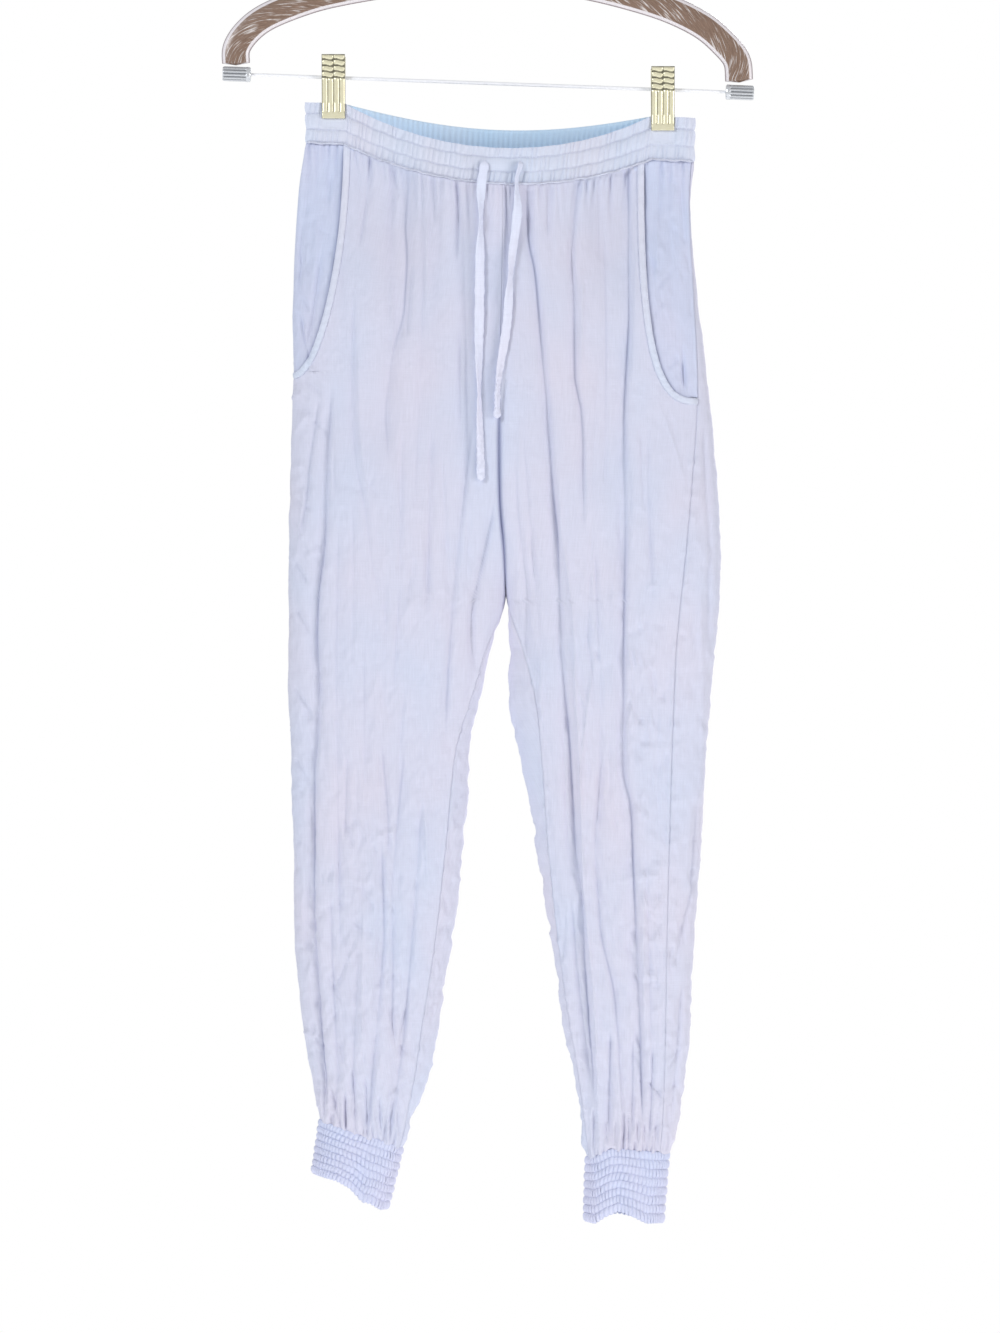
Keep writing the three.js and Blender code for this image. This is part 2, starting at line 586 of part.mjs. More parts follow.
// A smocked cuff: rows of small puffs outside, set half a gather apart, over a plain inside.
function cuff(leg) {
  const { innerTop, outerTop, innerBottom, outerBottom, topDepth, bottomDepth } = leg.cuff;
  const around = CUFF_GATHERS * 2;
  const down = CUFF_ROWS * 2;
  const profiles = [];
  for (let k = 0; k < around; k += 1) {
    const angle = (k / around) * 2 * Math.PI;
    const pointAt = (share, raised) => {
      const inner = [0, 1].map((i) => mix(innerTop[i], innerBottom[i], share));
      const outer = [0, 1].map((i) => mix(outerTop[i], outerBottom[i], share));
      const half = [0, 1].map((i) => (outer[i] - inner[i]) / 2);
      const width = Math.hypot(...half);
      const swell = (width - CUFF_WALL + raised) / width;
      const depth = mix(topDepth, bottomDepth, share) - CUFF_WALL + raised;
      const x = (inner[0] + outer[0]) / 2 + half[0] * swell * Math.cos(angle);
      const z = (inner[1] + outer[1]) / 2 + half[1] * swell * Math.cos(angle);
      return new THREE.Vector3(x, -depth * Math.sin(angle), z);
    };
    const profile = [];
    for (let r = 0; r <= down; r += 1) {
      const puffed = r % 2 === 1;
      const staggered = (k + (r >> 1)) % 2 ? 1 : -1;
      const raised = CUFF_WALL + (puffed ? 0.5 + 0.45 * staggered : -0.4);
      profile.push(pointAt(r / down, raised));
    }
    profile.push(pointAt(1, 0), pointAt(0, 0));
    profiles.push(profile);
  }
  addPiece(`cuff_${leg.name}`, sweep(profiles, true), CLOTH_FINISH);
}

// A solid with an oval section of two diameters along a smooth curve.
function ovalAlong(points, first, second, sides, steps) {
  const outline = new THREE.Shape();
  for (let k = 0; k < sides; k += 1) {
    const angle = ((k + 0.5) / sides) * 2 * Math.PI;
    const x = (first / 2) * Math.cos(angle);
    const y = (second / 2) * Math.sin(angle);
    if (k === 0) outline.moveTo(x, y);
    else outline.lineTo(x, y);
  }
  outline.closePath();
  const path = new THREE.CatmullRomCurve3(points.map((p) => new THREE.Vector3(...p)));
  const geometry = new THREE.ExtrudeGeometry(outline, { steps, extrudePath: path });
  geometry.deleteAttribute('normal');
  geometry.deleteAttribute('uv');
  const merged = mergeVertices(geometry, 1e-4);
  merged.computeVertexNormals();
  return merged;
}

// The two free ends of the flat tie, out of their eyelets in the channel and down the front.
const RIGHT_TIE_ROUTE = [
  [-10.6, -33.5, -261.5], [-10.9, -33.8, -267], [-12.5, -33.9, -276], [-13.6, -33.8, -287],
  [-13.8, -33.6, -300], [-13.9, -33.5, -316], [-14.4, -33.5, -335], [-14.7, -33.5, -356],
  [-14.9, -33.5, -378], [-15.2, -33.5, -401], [-15.5, -33.5, -425], [-15.4, -33.5, -450],
  [-15, -33.5, -475], [-14.4, -33.3, -499], [-14, -33.1, -518], [-13.8, -33, -535],
];
const LEFT_TIE_ROUTE = [
  [20, -32.4, -261.5], [19.8, -33.3, -266.5], [17, -33.9, -276], [16.8, -33.8, -287],
  [17.6, -33.6, -300], [16.2, -33.5, -318], [13.4, -33.5, -338], [11.6, -33.5, -358],
  [10, -33.5, -380], [8.6, -33.5, -400], [6, -33.5, -418], [3, -33.5, -436],
  [1, -33.5, -452], [0.2, -33.5, -468], [0, -33.4, -482],
];

// The hook's wire, up from the collar, round the rod and down to its tip.
function hookRoute() {
  const radius = HOOK_INSIDE_RADIUS + HOOK_WIRE / 2;
  const middle = -HOOK_INSIDE_RADIUS;
  const route = [[-5, 0, COLLAR_TOP + SEAM_GAP], [-4.6, 0, -70], [-3.4, 0, -59], [4, 0, -49]];
  for (let degrees = -50; degrees <= 200; degrees += 25) {
    const angle = THREE.MathUtils.degToRad(degrees);
    route.push([radius * Math.cos(angle), 0, middle + radius * Math.sin(angle)]);
  }
  return route;
}

// The arched arms, from one turned-down tip over the collar to the other, a little lower on the
// wearer's left, and the line of the clip bar between the two tips.
const ARM_ROUTE = [
  [-224.4, 0, -176.6], [-224, 0, -162], [-215, 0, -148], [-199, 0, -135.5], [-172, 0, -124],
  [-143, 0, -115.5], [-96, 0, -107], [-50, 0, -101.5], [-6, 0, -99.5], [40, 0, -102.5],
  [80, 0, -109], [120, 0, -119], [150, 0, -129], [176, 0, -142], [193, 0, -156],
  [206, 0, -172], [208.4, 0, -191.4],
];
const BAR_RIGHT_END = [-211.5, -184.6];
const BAR_LEFT_END = [196.5, -199.5];

const barHeight = (x) => mix(BAR_RIGHT_END[1], BAR_LEFT_END[1],
  (x - BAR_RIGHT_END[0]) / (BAR_LEFT_END[0] - BAR_RIGHT_END[0]));
const barTilt = Math.atan2(BAR_LEFT_END[1] - BAR_RIGHT_END[1], BAR_LEFT_END[0] - BAR_RIGHT_END[0]);

// A round piece on the clip bar's own line, centred at x.
function onBarLine(geometry, x) {
  geometry.rotateZ(-Math.PI / 2);
  geometry.rotateY(-barTilt);
  geometry.translate(x, 0, barHeight(x));
  return geometry;
}

// Side view of a clip's front plate, from its lip up past the bar to its grip: height and y.
const CLIP_FRONT_LINE = [
  { z: -35.5, y: -3.8 }, { z: -22, y: -3.4 }, { z: -10, y: -5.4 }, { z: 0, y: -7 },
  { z: 10, y: -8.6 }, { z: 19, y: -10.4 },
];
const CLIP_PLATE = 1.3;

function clip(name, x) {
  const z = barHeight(x);
  for (const [side, out] of [['front', 1], ['back', -1]]) {
    const inside = CLIP_FRONT_LINE.map((p) => new THREE.Vector2(out * p.y, p.z));
    const outside = CLIP_FRONT_LINE.map((p) => new THREE.Vector2(out * (p.y - CLIP_PLATE), p.z));
    const outline = new THREE.Shape([...inside, ...outside.reverse()]);
    const plate = new THREE.ExtrudeGeometry(outline, { depth: CLIP_WIDTH, bevelEnabled: false });
    plate.translate(0, 0, -CLIP_WIDTH / 2);
    plate.rotateY(Math.PI / 2);
    plate.rotateX(Math.PI / 2);
    plate.translate(x, 0, z);
    plate.deleteAttribute('normal');
    plate.deleteAttribute('uv');
    addPiece(`clip_${name}_${side}`, mergeVertices(plate, 1e-4), GOLD_FINISH);
  }
  const inner = BAR_DIAMETER / 2 + SEAM_GAP;
  const spring = new THREE.LatheGeometry([
    new THREE.Vector2(inner, -7), new THREE.Vector2(6.4, -7),
    new THREE.Vector2(6.4, 7), new THREE.Vector2(inner, 7), new THREE.Vector2(inner, -7),
  ], 12);
  addPiece(`clip_${name}_spring`, onBarLine(spring, x), STEEL_FINISH);
}

waistband('waistband_front', true);
waistband('waistband_back', false);
legPieces(RIGHT);
legPieces(LEFT);
cuff(RIGHT);
cuff(LEFT);
const tie = (route) => ovalAlong(route, TIE_WIDTH, TIE_THICKNESS, TIE_SIDES, TIE_STEPS);
addPiece('drawstring_right', tie(RIGHT_TIE_ROUTE), CLOTH_FINISH);
addPiece('drawstring_left', tie(LEFT_TIE_ROUTE), CLOTH_FINISH);

addPiece('hanger_hook', ovalAlong(hookRoute(), HOOK_WIRE, HOOK_WIRE, 8, 44), STEEL_FINISH);
const collar = new THREE.CylinderGeometry(COLLAR_RADIUS, COLLAR_RADIUS, COLLAR_HEIGHT, 12);
collar.rotateX(Math.PI / 2);
collar.translate(-5, 0, COLLAR_TOP - COLLAR_HEIGHT / 2);
addPiece('hanger_collar', collar, STEEL_FINISH);
addPiece('hanger_arms', ovalAlong(ARM_ROUTE, ARM_THICKNESS, ARM_DEPTH, 10, 36), ARM_FINISH);
const barLength = BAR_LEFT_END[0] - BAR_RIGHT_END[0];
const bar = new THREE.CylinderGeometry(BAR_DIAMETER / 2, BAR_DIAMETER / 2, barLength, 10);
addPiece('hanger_bar', onBarLine(bar, (BAR_LEFT_END[0] + BAR_RIGHT_END[0]) / 2), STEEL_FINISH);
for (const [name, end, out] of [['right', BAR_RIGHT_END, -1], ['left', BAR_LEFT_END, 1]]) {
  const socket = new THREE.CylinderGeometry(SOCKET_RADIUS, SOCKET_RADIUS, SOCKET_LENGTH, 12);
  const middle = end[0] + out * (SEAM_GAP + SOCKET_LENGTH / 2);
  addPiece(`bar_socket_${name}`, onBarLine(socket, middle), STEEL_FINISH);
}
clip('right', CLIP_RIGHT_X);
clip('left', CLIP_LEFT_X);

export default group;
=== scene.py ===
import math

import bpy
import numpy as np
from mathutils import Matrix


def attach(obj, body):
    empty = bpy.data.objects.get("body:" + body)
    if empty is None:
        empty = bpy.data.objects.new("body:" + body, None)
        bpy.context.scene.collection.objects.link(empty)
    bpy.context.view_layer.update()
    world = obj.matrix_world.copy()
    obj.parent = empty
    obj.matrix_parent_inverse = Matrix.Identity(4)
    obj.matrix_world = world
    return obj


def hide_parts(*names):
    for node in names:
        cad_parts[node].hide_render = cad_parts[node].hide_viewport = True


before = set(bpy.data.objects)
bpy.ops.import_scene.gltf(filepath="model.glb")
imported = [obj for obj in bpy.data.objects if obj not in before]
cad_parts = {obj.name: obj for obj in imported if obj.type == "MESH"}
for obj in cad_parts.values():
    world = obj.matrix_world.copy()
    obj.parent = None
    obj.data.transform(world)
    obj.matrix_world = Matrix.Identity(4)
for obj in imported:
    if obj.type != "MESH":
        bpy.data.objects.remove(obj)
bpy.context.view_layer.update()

# The view
# A long lens looks straight at the front, and the hanger's top runs out of the picture as it
# does in the photograph. One photo pixel is 0.86 mm at the garment.
PIXEL = 0.00086
PHOTO_WIDTH = 1000
PHOTO_HEIGHT = 1333
HOOK_PIXEL_X = 497
HOOK_PIXEL_Y = -140
CAMERA_DISTANCE = 5.0
SENSOR = 36

view_x = (PHOTO_WIDTH / 2 - HOOK_PIXEL_X) * PIXEL
view_z = -(PHOTO_HEIGHT / 2 - HOOK_PIXEL_Y) * PIXEL
camera_data = bpy.data.cameras.new("camera")
camera_data.sensor_width = SENSOR
camera_data.lens = SENSOR * CAMERA_DISTANCE / (PHOTO_HEIGHT * PIXEL)
camera = bpy.data.objects.new("camera", camera_data)
camera.location = (view_x, -CAMERA_DISTANCE, view_z)
camera.rotation_euler = (math.pi / 2, 0, 0)
bpy.context.scene.collection.objects.link(camera)
bpy.context.scene.camera = camera

# The cloth
# Thin plain-woven viscose, lavender white. Its threads are uneven, so that a soft warp and weft
# grain shows, and it is lightly rumpled all over.
MM = 0.001
CLOTH_COLOUR = (0.655, 0.668, 0.785, 1)
# Painted shade: the colour that crease values darken the cloth towards in creases and gathers.
CREASE_SHADE_COLOUR = (0.40, 0.42, 0.55, 1)
COOL_TINT = (0.93, 0.97, 1.0, 1)
WARM_TINT = (1.0, 0.965, 0.965, 1)
CLOTH_BUMP = 0.5 * MM
CLOTH_ROUGHNESS = 0.82
CLOTH_SHEEN = 0.12
RUMPLE_DEPTH = 0.9
WARP_SCALE = (1250, 45, 1)
WEFT_SCALE = (60, 1250, 1)
PATCH_SCALE = (13, 7, 1)
RUMPLE_SCALE = (70, 45, 1)
WEFT_SHARE = 0.6
GRAIN_CONTRAST = 0.15
GRAIN_BASE = 0.88
THREAD_HEIGHT = 0.06
PATCH_EDGES = (0.32, 0.68)


def new_group(name, inputs, outputs):
    """An empty shader node group with named sockets."""
    group = bpy.data.node_groups.new(name, "ShaderNodeTree")
    for label, kind, value in inputs:
        socket = group.interface.new_socket(label, in_out="INPUT", socket_type=kind)
        if value is not None:
            socket.default_value = value
    for label, kind in outputs:
        group.interface.new_socket(label, in_out="OUTPUT", socket_type=kind)
    return group, group.nodes.new("NodeGroupInput"), group.nodes.new("NodeGroupOutput")


def wire(tree, *pairs):
    """Links each pair of sockets."""
    for start, end in pairs:
        tree.links.new(start, end)


def math_node(tree, operation, first, second):
    """One sum of two sockets or numbers."""
    node = tree.nodes.new("ShaderNodeMath")
    node.operation = operation
    for socket, value in zip(node.inputs, (first, second)):
        if isinstance(value, (int, float)):
            socket.default_value = value
        else:
            tree.links.new(value, socket)
    return node.outputs[0]


def stretched_noise(tree, vector, stretch, detail):
    """Noise of the given scale along each axis, so that it draws out into threads."""
    mapping = tree.nodes.new("ShaderNodeMapping")
    mapping.inputs["Scale"].default_value = stretch
    noise = tree.nodes.new("ShaderNodeTexNoise")
    noise.inputs["Scale"].default_value = 1
    noise.inputs["Detail"].default_value = detail
    wire(tree, (vector, mapping.inputs["Vector"]), (mapping.outputs[0], noise.inputs["Vector"]))
    return noise.outputs["Fac"]


woven, woven_in, woven_out = new_group(
    "woven_viscose",
    [("Vector", "NodeSocketVector", None), ("Colour", "NodeSocketColor", CLOTH_COLOUR),
     ("Rumple", "NodeSocketFloat", 0.5)],
    [("Colour", "NodeSocketColor"), ("Height", "NodeSocketFloat")])
warp = stretched_noise(woven, woven_in.outputs["Vector"], WARP_SCALE, 2)
weft = stretched_noise(woven, woven_in.outputs["Vector"], WEFT_SCALE, 2)
rumple = stretched_noise(woven, woven_in.outputs["Vector"], RUMPLE_SCALE, 3)
patches = stretched_noise(woven, woven_in.outputs["Vector"], PATCH_SCALE, 2)
tint = woven.nodes.new("ShaderNodeMix")
tint.data_type = "RGBA"
tint.inputs["A"].default_value = COOL_TINT
tint.inputs["B"].default_value = WARM_TINT
sharper = woven.nodes.new("ShaderNodeMapRange")
sharper.inputs["From Min"].default_value = PATCH_EDGES[0]
sharper.inputs["From Max"].default_value = PATCH_EDGES[1]
shaded = woven.nodes.new("ShaderNodeMix")
shaded.data_type = "RGBA"
shaded.blend_type = "MULTIPLY"
shaded.inputs["Factor"].default_value = 1
wire(woven, (patches, sharper.inputs["Value"]), (sharper.outputs[0], tint.inputs["Factor"]),
     (woven_in.outputs["Colour"], shaded.inputs["A"]), (tint.outputs["Result"], shaded.inputs["B"]))
threads = math_node(woven, "ADD", warp, math_node(woven, "MULTIPLY", weft, WEFT_SHARE))
grain = math_node(woven, "MULTIPLY_ADD", threads, GRAIN_CONTRAST)
grain.node.inputs[2].default_value = GRAIN_BASE
tinted = woven.nodes.new("ShaderNodeMix")
tinted.data_type = "RGBA"
tinted.blend_type = "MULTIPLY"
tinted.inputs["Factor"].default_value = 1
low_waves = math_node(woven, "MULTIPLY", rumple, woven_in.outputs["Rumple"])
height = math_node(woven, "MULTIPLY_ADD", threads, THREAD_HEIGHT)
wire(woven, (low_waves, height.node.inputs[2]),
     (shaded.outputs["Result"], tinted.inputs["A"]), (grain, tinted.inputs["B"]),
     (tinted.outputs["Result"], woven_out.inputs["Colour"]),
     (height, woven_out.inputs["Height"]))


def cloth_material(name, colour, bump=CLOTH_BUMP):
    """Viscose in one shade, on the piece's own cloth map. Painted shade darkens it down in a
    crease, by the mesh's own crease values."""
    material = bpy.data.materials.new(name)
    material.use_nodes = True
    tree = material.node_tree
    shader = tree.nodes["Principled BSDF"]
    shader.inputs["Roughness"].default_value = CLOTH_ROUGHNESS
    shader.inputs["Specular IOR Level"].default_value = 0.25
    shader.inputs["Sheen Weight"].default_value = CLOTH_SHEEN
    shader.inputs["Sheen Roughness"].default_value = 0.5
    cloth_map = tree.nodes.new("ShaderNodeUVMap")
    cloth_map.uv_map = "cloth"
    weave = tree.nodes.new("ShaderNodeGroup")
    weave.node_tree = woven
    weave.inputs["Colour"].default_value = colour
    weave.inputs["Rumple"].default_value = RUMPLE_DEPTH
    relief = tree.nodes.new("ShaderNodeBump")
    relief.inputs["Strength"].default_value = 1
    relief.inputs["Distance"].default_value = bump
    # Painted shade, read from the mesh's crease values.
    crease = tree.nodes.new("ShaderNodeAttribute")
    crease.attribute_name = "crease"
    darker = tree.nodes.new("ShaderNodeMix")
    darker.data_type = "RGBA"
    darker.blend_type = "MULTIPLY"
    darker.inputs["B"].default_value = CREASE_SHADE_COLOUR
    wire(tree, (cloth_map.outputs[0], weave.inputs["Vector"]),
         (crease.outputs["Fac"], darker.inputs["Factor"]),
         (weave.outputs["Colour"], darker.inputs["A"]),
         (darker.outputs["Result"], shader.inputs["Base Color"]),
         (weave.outputs["Height"], relief.inputs["Height"]),
         (relief.outputs[0], shader.inputs["Normal"]))
    return material


cloth = cloth_material("viscose", CLOTH_COLOUR)


def store_painted_shade(mesh, values):
    """Stores each point's painted shade, for the materials to read."""
    layer = mesh.attributes.new("crease", "FLOAT", "POINT")
    layer.data.foreach_set("value", np.ravel(values).astype(np.float32))


def grid_piece(name, points, cloth_uv, material, flip=False, ring=False, second_material=None, second_rows=None,
               crease=None):
    """A mesh of four-sided faces between the rows and columns of an array of points. ring joins
    the last column to the first, a second material goes on the rows that are flagged for it, and
    crease gives each point's painted shade."""
    rows, columns, _ = points.shape
    index = np.arange(rows * columns).reshape(rows, columns)
    if ring:
        index = np.concatenate([index, index[:, :1]], axis=1)
    corners = [index[:-1, :-1], index[1:, :-1], index[1:, 1:], index[:-1, 1:]]
    if not flip:
        corners.reverse()
    faces = np.stack(corners, axis=-1).reshape(-1, 4)
    mesh = bpy.data.meshes.new(name)
    mesh.from_pydata(points.reshape(-1, 3).tolist(), [], faces.tolist())
    layer = mesh.uv_layers.new(name="cloth")
    flat_uv = cloth_uv.reshape(-1, 2)[faces.reshape(-1)]
    layer.data.foreach_set("uv", flat_uv.astype(np.float32).ravel())
    mesh.polygons.foreach_set("use_smooth", np.ones(len(faces), dtype=bool))
    mesh.materials.append(material)
    if second_material is not None:
        mesh.materials.append(second_material)
        per_row = np.repeat(second_rows[:, None], index.shape[1] - 1, axis=1)
        mesh.polygons.foreach_set("material_index", per_row.ravel().astype(np.int32))
    if crease is not None:
        store_painted_shade(mesh, crease)
    mesh.update()
    piece = bpy.data.objects.new(name, mesh)
    bpy.context.scene.collection.objects.link(piece)
    return piece


# The drawstring
# Its two free ends come out of eyelets in the channel and hang down the front. The tie is a
# folded strip of the same viscose, 8 mm wide, that twists edge-on here and there.
TIE_COLOUR = (0.76, 0.79, 0.92, 1)
TIE_BUMP = 0.6 * MM
TIE_WIDTH = 0.0082
TIE_THICKNESS = 0.0018
TIE_RINGS = 260
TIE_AROUND = 20
TIE_CRIMP = 0.0004
TIE_SQUARENESS = 0.8
ROPE_FROM = 0.78
ROPE_TO = 0.90
ROPE_NARROWER = 0.12
ROPE_THICKER = 0.9
UNEVEN_WIDTH = 0.07
UNEVEN_THICKNESS = 0.16
RIGHT_TIE_ROUTE = np.array([
    (-0.0106, -0.0335, -0.2615), (-0.0109, -0.0338, -0.267), (-0.0125, -0.0339, -0.276),
    (-0.0136, -0.0338, -0.287), (-0.0138, -0.0336, -0.300), (-0.0139, -0.0335, -0.316),
    (-0.0144, -0.0335, -0.335), (-0.0147, -0.0335, -0.356), (-0.0149, -0.0335, -0.378),
    (-0.0152, -0.0335, -0.401), (-0.0155, -0.0335, -0.425), (-0.0154, -0.0335, -0.450),
    (-0.015, -0.0335, -0.475), (-0.0144, -0.0333, -0.499), (-0.014, -0.0331, -0.518),
    (-0.0138, -0.033, -0.535)])
LEFT_TIE_ROUTE = np.array([
    (0.020, -0.0324, -0.2615), (0.0198, -0.0333, -0.2665), (0.017, -0.0339, -0.276),
    (0.0168, -0.0338, -0.287), (0.0176, -0.0336, -0.300), (0.0162, -0.0335, -0.318),
    (0.0134, -0.0335, -0.338), (0.0116, -0.0335, -0.358), (0.010, -0.0335, -0.380),
    (0.0086, -0.0335, -0.400), (0.006, -0.0335, -0.418), (0.003, -0.0335, -0.436),
    (0.001, -0.0335, -0.452), (0.0002, -0.0335, -0.468), (0, -0.0334, -0.482)])
# Share of the tie's length and its turn there in degrees, 0 flat and 90 edge-on.
RIGHT_TIE_TURNS = [(0, 25), (0.08, 5), (0.18, 82), (0.30, 12), (0.52, 8), (0.72, 78), (0.82, 48),
                   (0.92, 30), (1, 20)]
LEFT_TIE_TURNS = [(0, 62), (0.10, 72), (0.22, 8), (0.36, 30), (0.44, 70), (0.58, 14), (0.76, 32),
                  (0.88, 70), (1, 50)]

tie_cloth = cloth_material("viscose_tie", TIE_COLOUR, TIE_BUMP)


def ease(start, end, value):
    """Smooth rise from 0 at start to 1 at end."""
    t = np.clip((value - start) / (end - start), 0, 1)
    return t * t * (3 - 2 * t)


def mix(first, second, share):
    """The value at a share of the way from first to second."""
    return first + (second - first) * share


def smooth_route(route, count):
    """Catmull-Rom curve through a route's points, at even steps of length."""
    ends = np.vstack([2 * route[0] - route[1], route, 2 * route[-1] - route[-2]])
    spans = len(route) - 1
    t = np.linspace(0, spans, 40 * spans + 1)
    i = np.minimum(t.astype(int), spans - 1)
    u = (t - i)[:, None]
    a, b, c, d = ends[i], ends[i + 1], ends[i + 2], ends[i + 3]
    curve = 0.5 * (2 * b + (c - a) * u + (2 * a - 5 * b + 4 * c - d) * u ** 2
                   + (3 * b - a - 3 * c + d) * u ** 3)
    steps = np.linalg.norm(np.diff(curve, axis=0), axis=1)
    length = np.concatenate([[0], np.cumsum(steps)])
    even = np.linspace(0, length[-1], count)
    return np.stack([np.interp(even, length, curve[:, k]) for k in range(3)], axis=1)


def tie_end(name, route, turns, seed):
    """A flat tie along a route. Its section is a squashed oval, turned by the table of turns,
    narrowed and wrinkled towards its end."""
    count, around = TIE_RINGS, TIE_AROUND
    path = smooth_route(route, count)
    share = np.linspace(0, 1, count)
    turn = np.radians(np.interp(share, *zip(*turns)))
    kernel = np.hanning(25) / np.hanning(25).sum()
    turn = np.convolve(np.pad(turn, 12, mode="edge"), kernel, mode="valid")
    random = np.random.default_rng(seed)
    rough = np.convolve(random.normal(size=count + 8), np.hanning(9) / 3, mode="valid")
    rope = ease(ROPE_FROM, ROPE_TO, share)
    half_width = TIE_WIDTH / 2 * (1 - ROPE_NARROWER * rope) * (1 + UNEVEN_WIDTH * rough)
    half_thick = TIE_THICKNESS / 2 * (1 + ROPE_THICKER * rope) * (1 + UNEVEN_THICKNESS * rough)
    around_angle = np.arange(around) / around * 2 * np.pi
    wide = np.sign(np.cos(around_angle)) * np.abs(np.cos(around_angle)) ** TIE_SQUARENESS
    thick = np.sign(np.sin(around_angle)) * np.abs(np.sin(around_angle)) ** TIE_SQUARENESS
    crimp = random.normal(size=(count, around)) * TIE_CRIMP * (0.4 + 0.8 * rope[:, None])
    crimp = (crimp + np.roll(crimp, 1, 0) + np.roll(crimp, 1, 1) + np.roll(crimp, 2, 0)) / 2.5
    close = np.clip(np.minimum(share, 1 - share) * count / 3, 0, 1)[:, None] ** 0.5
    across = wide[None] * half_width[:, None] * close
    through = (thick[None] * half_thick[:, None] + crimp) * close
    c, s = np.cos(turn)[:, None], np.sin(turn)[:, None]
    points = np.repeat(path[:, None, :], around, axis=1)
    points[..., 0] += across * c - through * s
    points[..., 1] += across * s + through * c
    out_of_cloth = np.minimum(0, path[:, 1, None] + TIE_THICKNESS / 2 - points[..., 1])
    points[..., 1] += out_of_cloth * 0.8
    cloth_uv = np.stack(np.broadcast_arrays(
        around_angle[None] * TIE_WIDTH / 3, share[:, None] * 0.27), axis=-1)
    piece = grid_piece(name, points, cloth_uv, tie_cloth, flip=True, ring=True)
    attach(piece, "root")
    return piece, [tuple(p) for p in path[::6].tolist() + [path[-1].tolist()]]


right_tie, right_path = tie_end("tie_right", RIGHT_TIE_ROUTE, RIGHT_TIE_TURNS, 3)
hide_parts("drawstring_right")
left_tie, left_path = tie_end("tie_left", LEFT_TIE_ROUTE, LEFT_TIE_TURNS, 5)
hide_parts("drawstring_left")

# The legs
# Each leg is a front and a back panel, joined at the side seam and the inseam, and gathered to
# the waistband and the cuff. Hung by the waist they fall nearly flat, with the side seam of the
# left leg and both inseams rolled a little onto the front.
WAIST_LEFT_EDGE = 169.5 * MM
WAIST_RIGHT_EDGE = -164 * MM
WAIST_LEVEL = -250 * MM
WAIST_FADE = 150 * MM
CLIP_RIGHT_X = -140.5 * MM
CLIP_LEFT_X = 142.5 * MM
CLIP_WIDTH = 20 * MM
PINCHED_HALF = 4.5 * MM
WAIST_BOW = 27 * MM
RISE_CLOSES_FROM = -480 * MM
CROTCH = -636 * MM
SECTION_ROUNDNESS = 0.7
PINCHED_ROUNDNESS = 0.3
HALF_RISE_GAP = 0.02 * MM
ROW_GAP = -1.2 * MM

SECTION_COLUMNS = ("z", "outer", "inner", "seam", "inseam", "front", "back")
LEFT_SECTIONS = [
    (-250, 169.5, 5.2, 167, 5.2, 27, 27),
    (-292, 166.5, 5.2, 165, 5.2, 28, 28),
    (-378, 173, 4.2, 169, 4.2, 30, 31),
    (-464, 183, 2.2, 172, 2.2, 31, 33),
    (-550, 191, 2.7, 166, 2.7, 31, 34),
    (-594, 192.5, 6.2, 162, 6.2, 30, 33),
    (-636, 192, 8, 157.5, 8, 29, 31),
    (-679, 187.5, 11.5, 153.5, 22, 28, 29),
    (-722, 184, 10, 151.5, 33, 27, 28),
    (-765, 180.5, 18, 150, 37.5, 26, 27),
    (-851, 175.5, 34, 147.5, 44, 25, 26),
    (-937, 169.5, 47.5, 145.5, 53, 24, 25),
    (-1023, 165, 61, 144, 66, 22, 23),
    (-1075, 159, 70, 142.5, 74, 18, 19),
    (-1111, 149, 76, 140, 78.5, 14, 14),
]
RIGHT_SECTIONS = [
    (-250, -164, 4.8, -164, 4.8, 27, 27),
    (-292, -170.5, 4.8, -170.5, 4.8, 28, 28),
    (-378, -175.5, 3.8, -175.5, 3.8, 30, 31),
    (-464, -175.5, 1.8, -175.5, 1.8, 31, 33),
    (-550, -178.5, 2.3, -178.5, 2.3, 31, 34),
    (-594, -179, 5.8, -179, 5.8, 30, 33),
    (-636, -179.7, 7.6, -179.7, 7.6, 29, 31),
    (-679, -179.7, -5, -179.7, -9, 28, 29),
    (-722, -179.5, -15, -179.5, -22, 27, 28),
    (-765, -178, -21.5, -178, -35, 26, 27),
    (-851, -175.5, -28, -175.5, -44, 25, 26),
    (-937, -173.5, -40, -173.5, -54, 24, 25),
    (-1023, -164.5, -54.5, -164.5, -68, 22, 23),
    (-1066, -157.5, -72, -157.5, -77, 18, 19),
    (-1094, -152.5, -81, -152.5, -83, 14, 14),
]
RISE_LINE = [(-250, 5), (-292, 5), (-378, 4), (-464, 2), (-550, 2.5), (-594, 6), (-636, 7.8)]


def table(rows, names):
    """A table of millimetres as one array for each named column, in metres."""
    return {name: np.array([row[k] for row in rows]) * MM for k, name in enumerate(names)}


def along(rows, column, z):
    """Smooth curve through a table's column: cubic pieces with the slope of the neighbours."""
    down, value = -rows["z"], rows[column]
    slope = np.gradient(value, down)
    slope[1:-1] = (value[2:] - value[:-2]) / (down[2:] - down[:-2])
    place = np.clip(-z, down[0], down[-1])
    i = np.clip(np.searchsorted(down, place, side="right") - 1, 0, len(down) - 2)
    span = down[i + 1] - down[i]
    t = (place - down[i]) / span
    return ((2 * t ** 3 - 3 * t ** 2 + 1) * value[i] + (t ** 3 - 2 * t ** 2 + t) * slope[i] * span
            + (3 * t ** 2 - 2 * t ** 3) * value[i + 1] + (t ** 3 - t ** 2) * slope[i + 1] * span)


rise_line = table(RISE_LINE, ("z", "x"))


def between_clips(x):
    """Place between the clips: -1 at the right one, 1 at the left one."""
    middle = (CLIP_LEFT_X + CLIP_RIGHT_X) / 2
    half = (CLIP_LEFT_X - CLIP_RIGHT_X - CLIP_WIDTH) / 2
    return np.clip((x - middle) / half, -1, 1)


def bow_at(x):
    """How far the waist bows out, as a share of its bow in the middle."""
    return (1 - between_clips(x) ** 2) ** 2


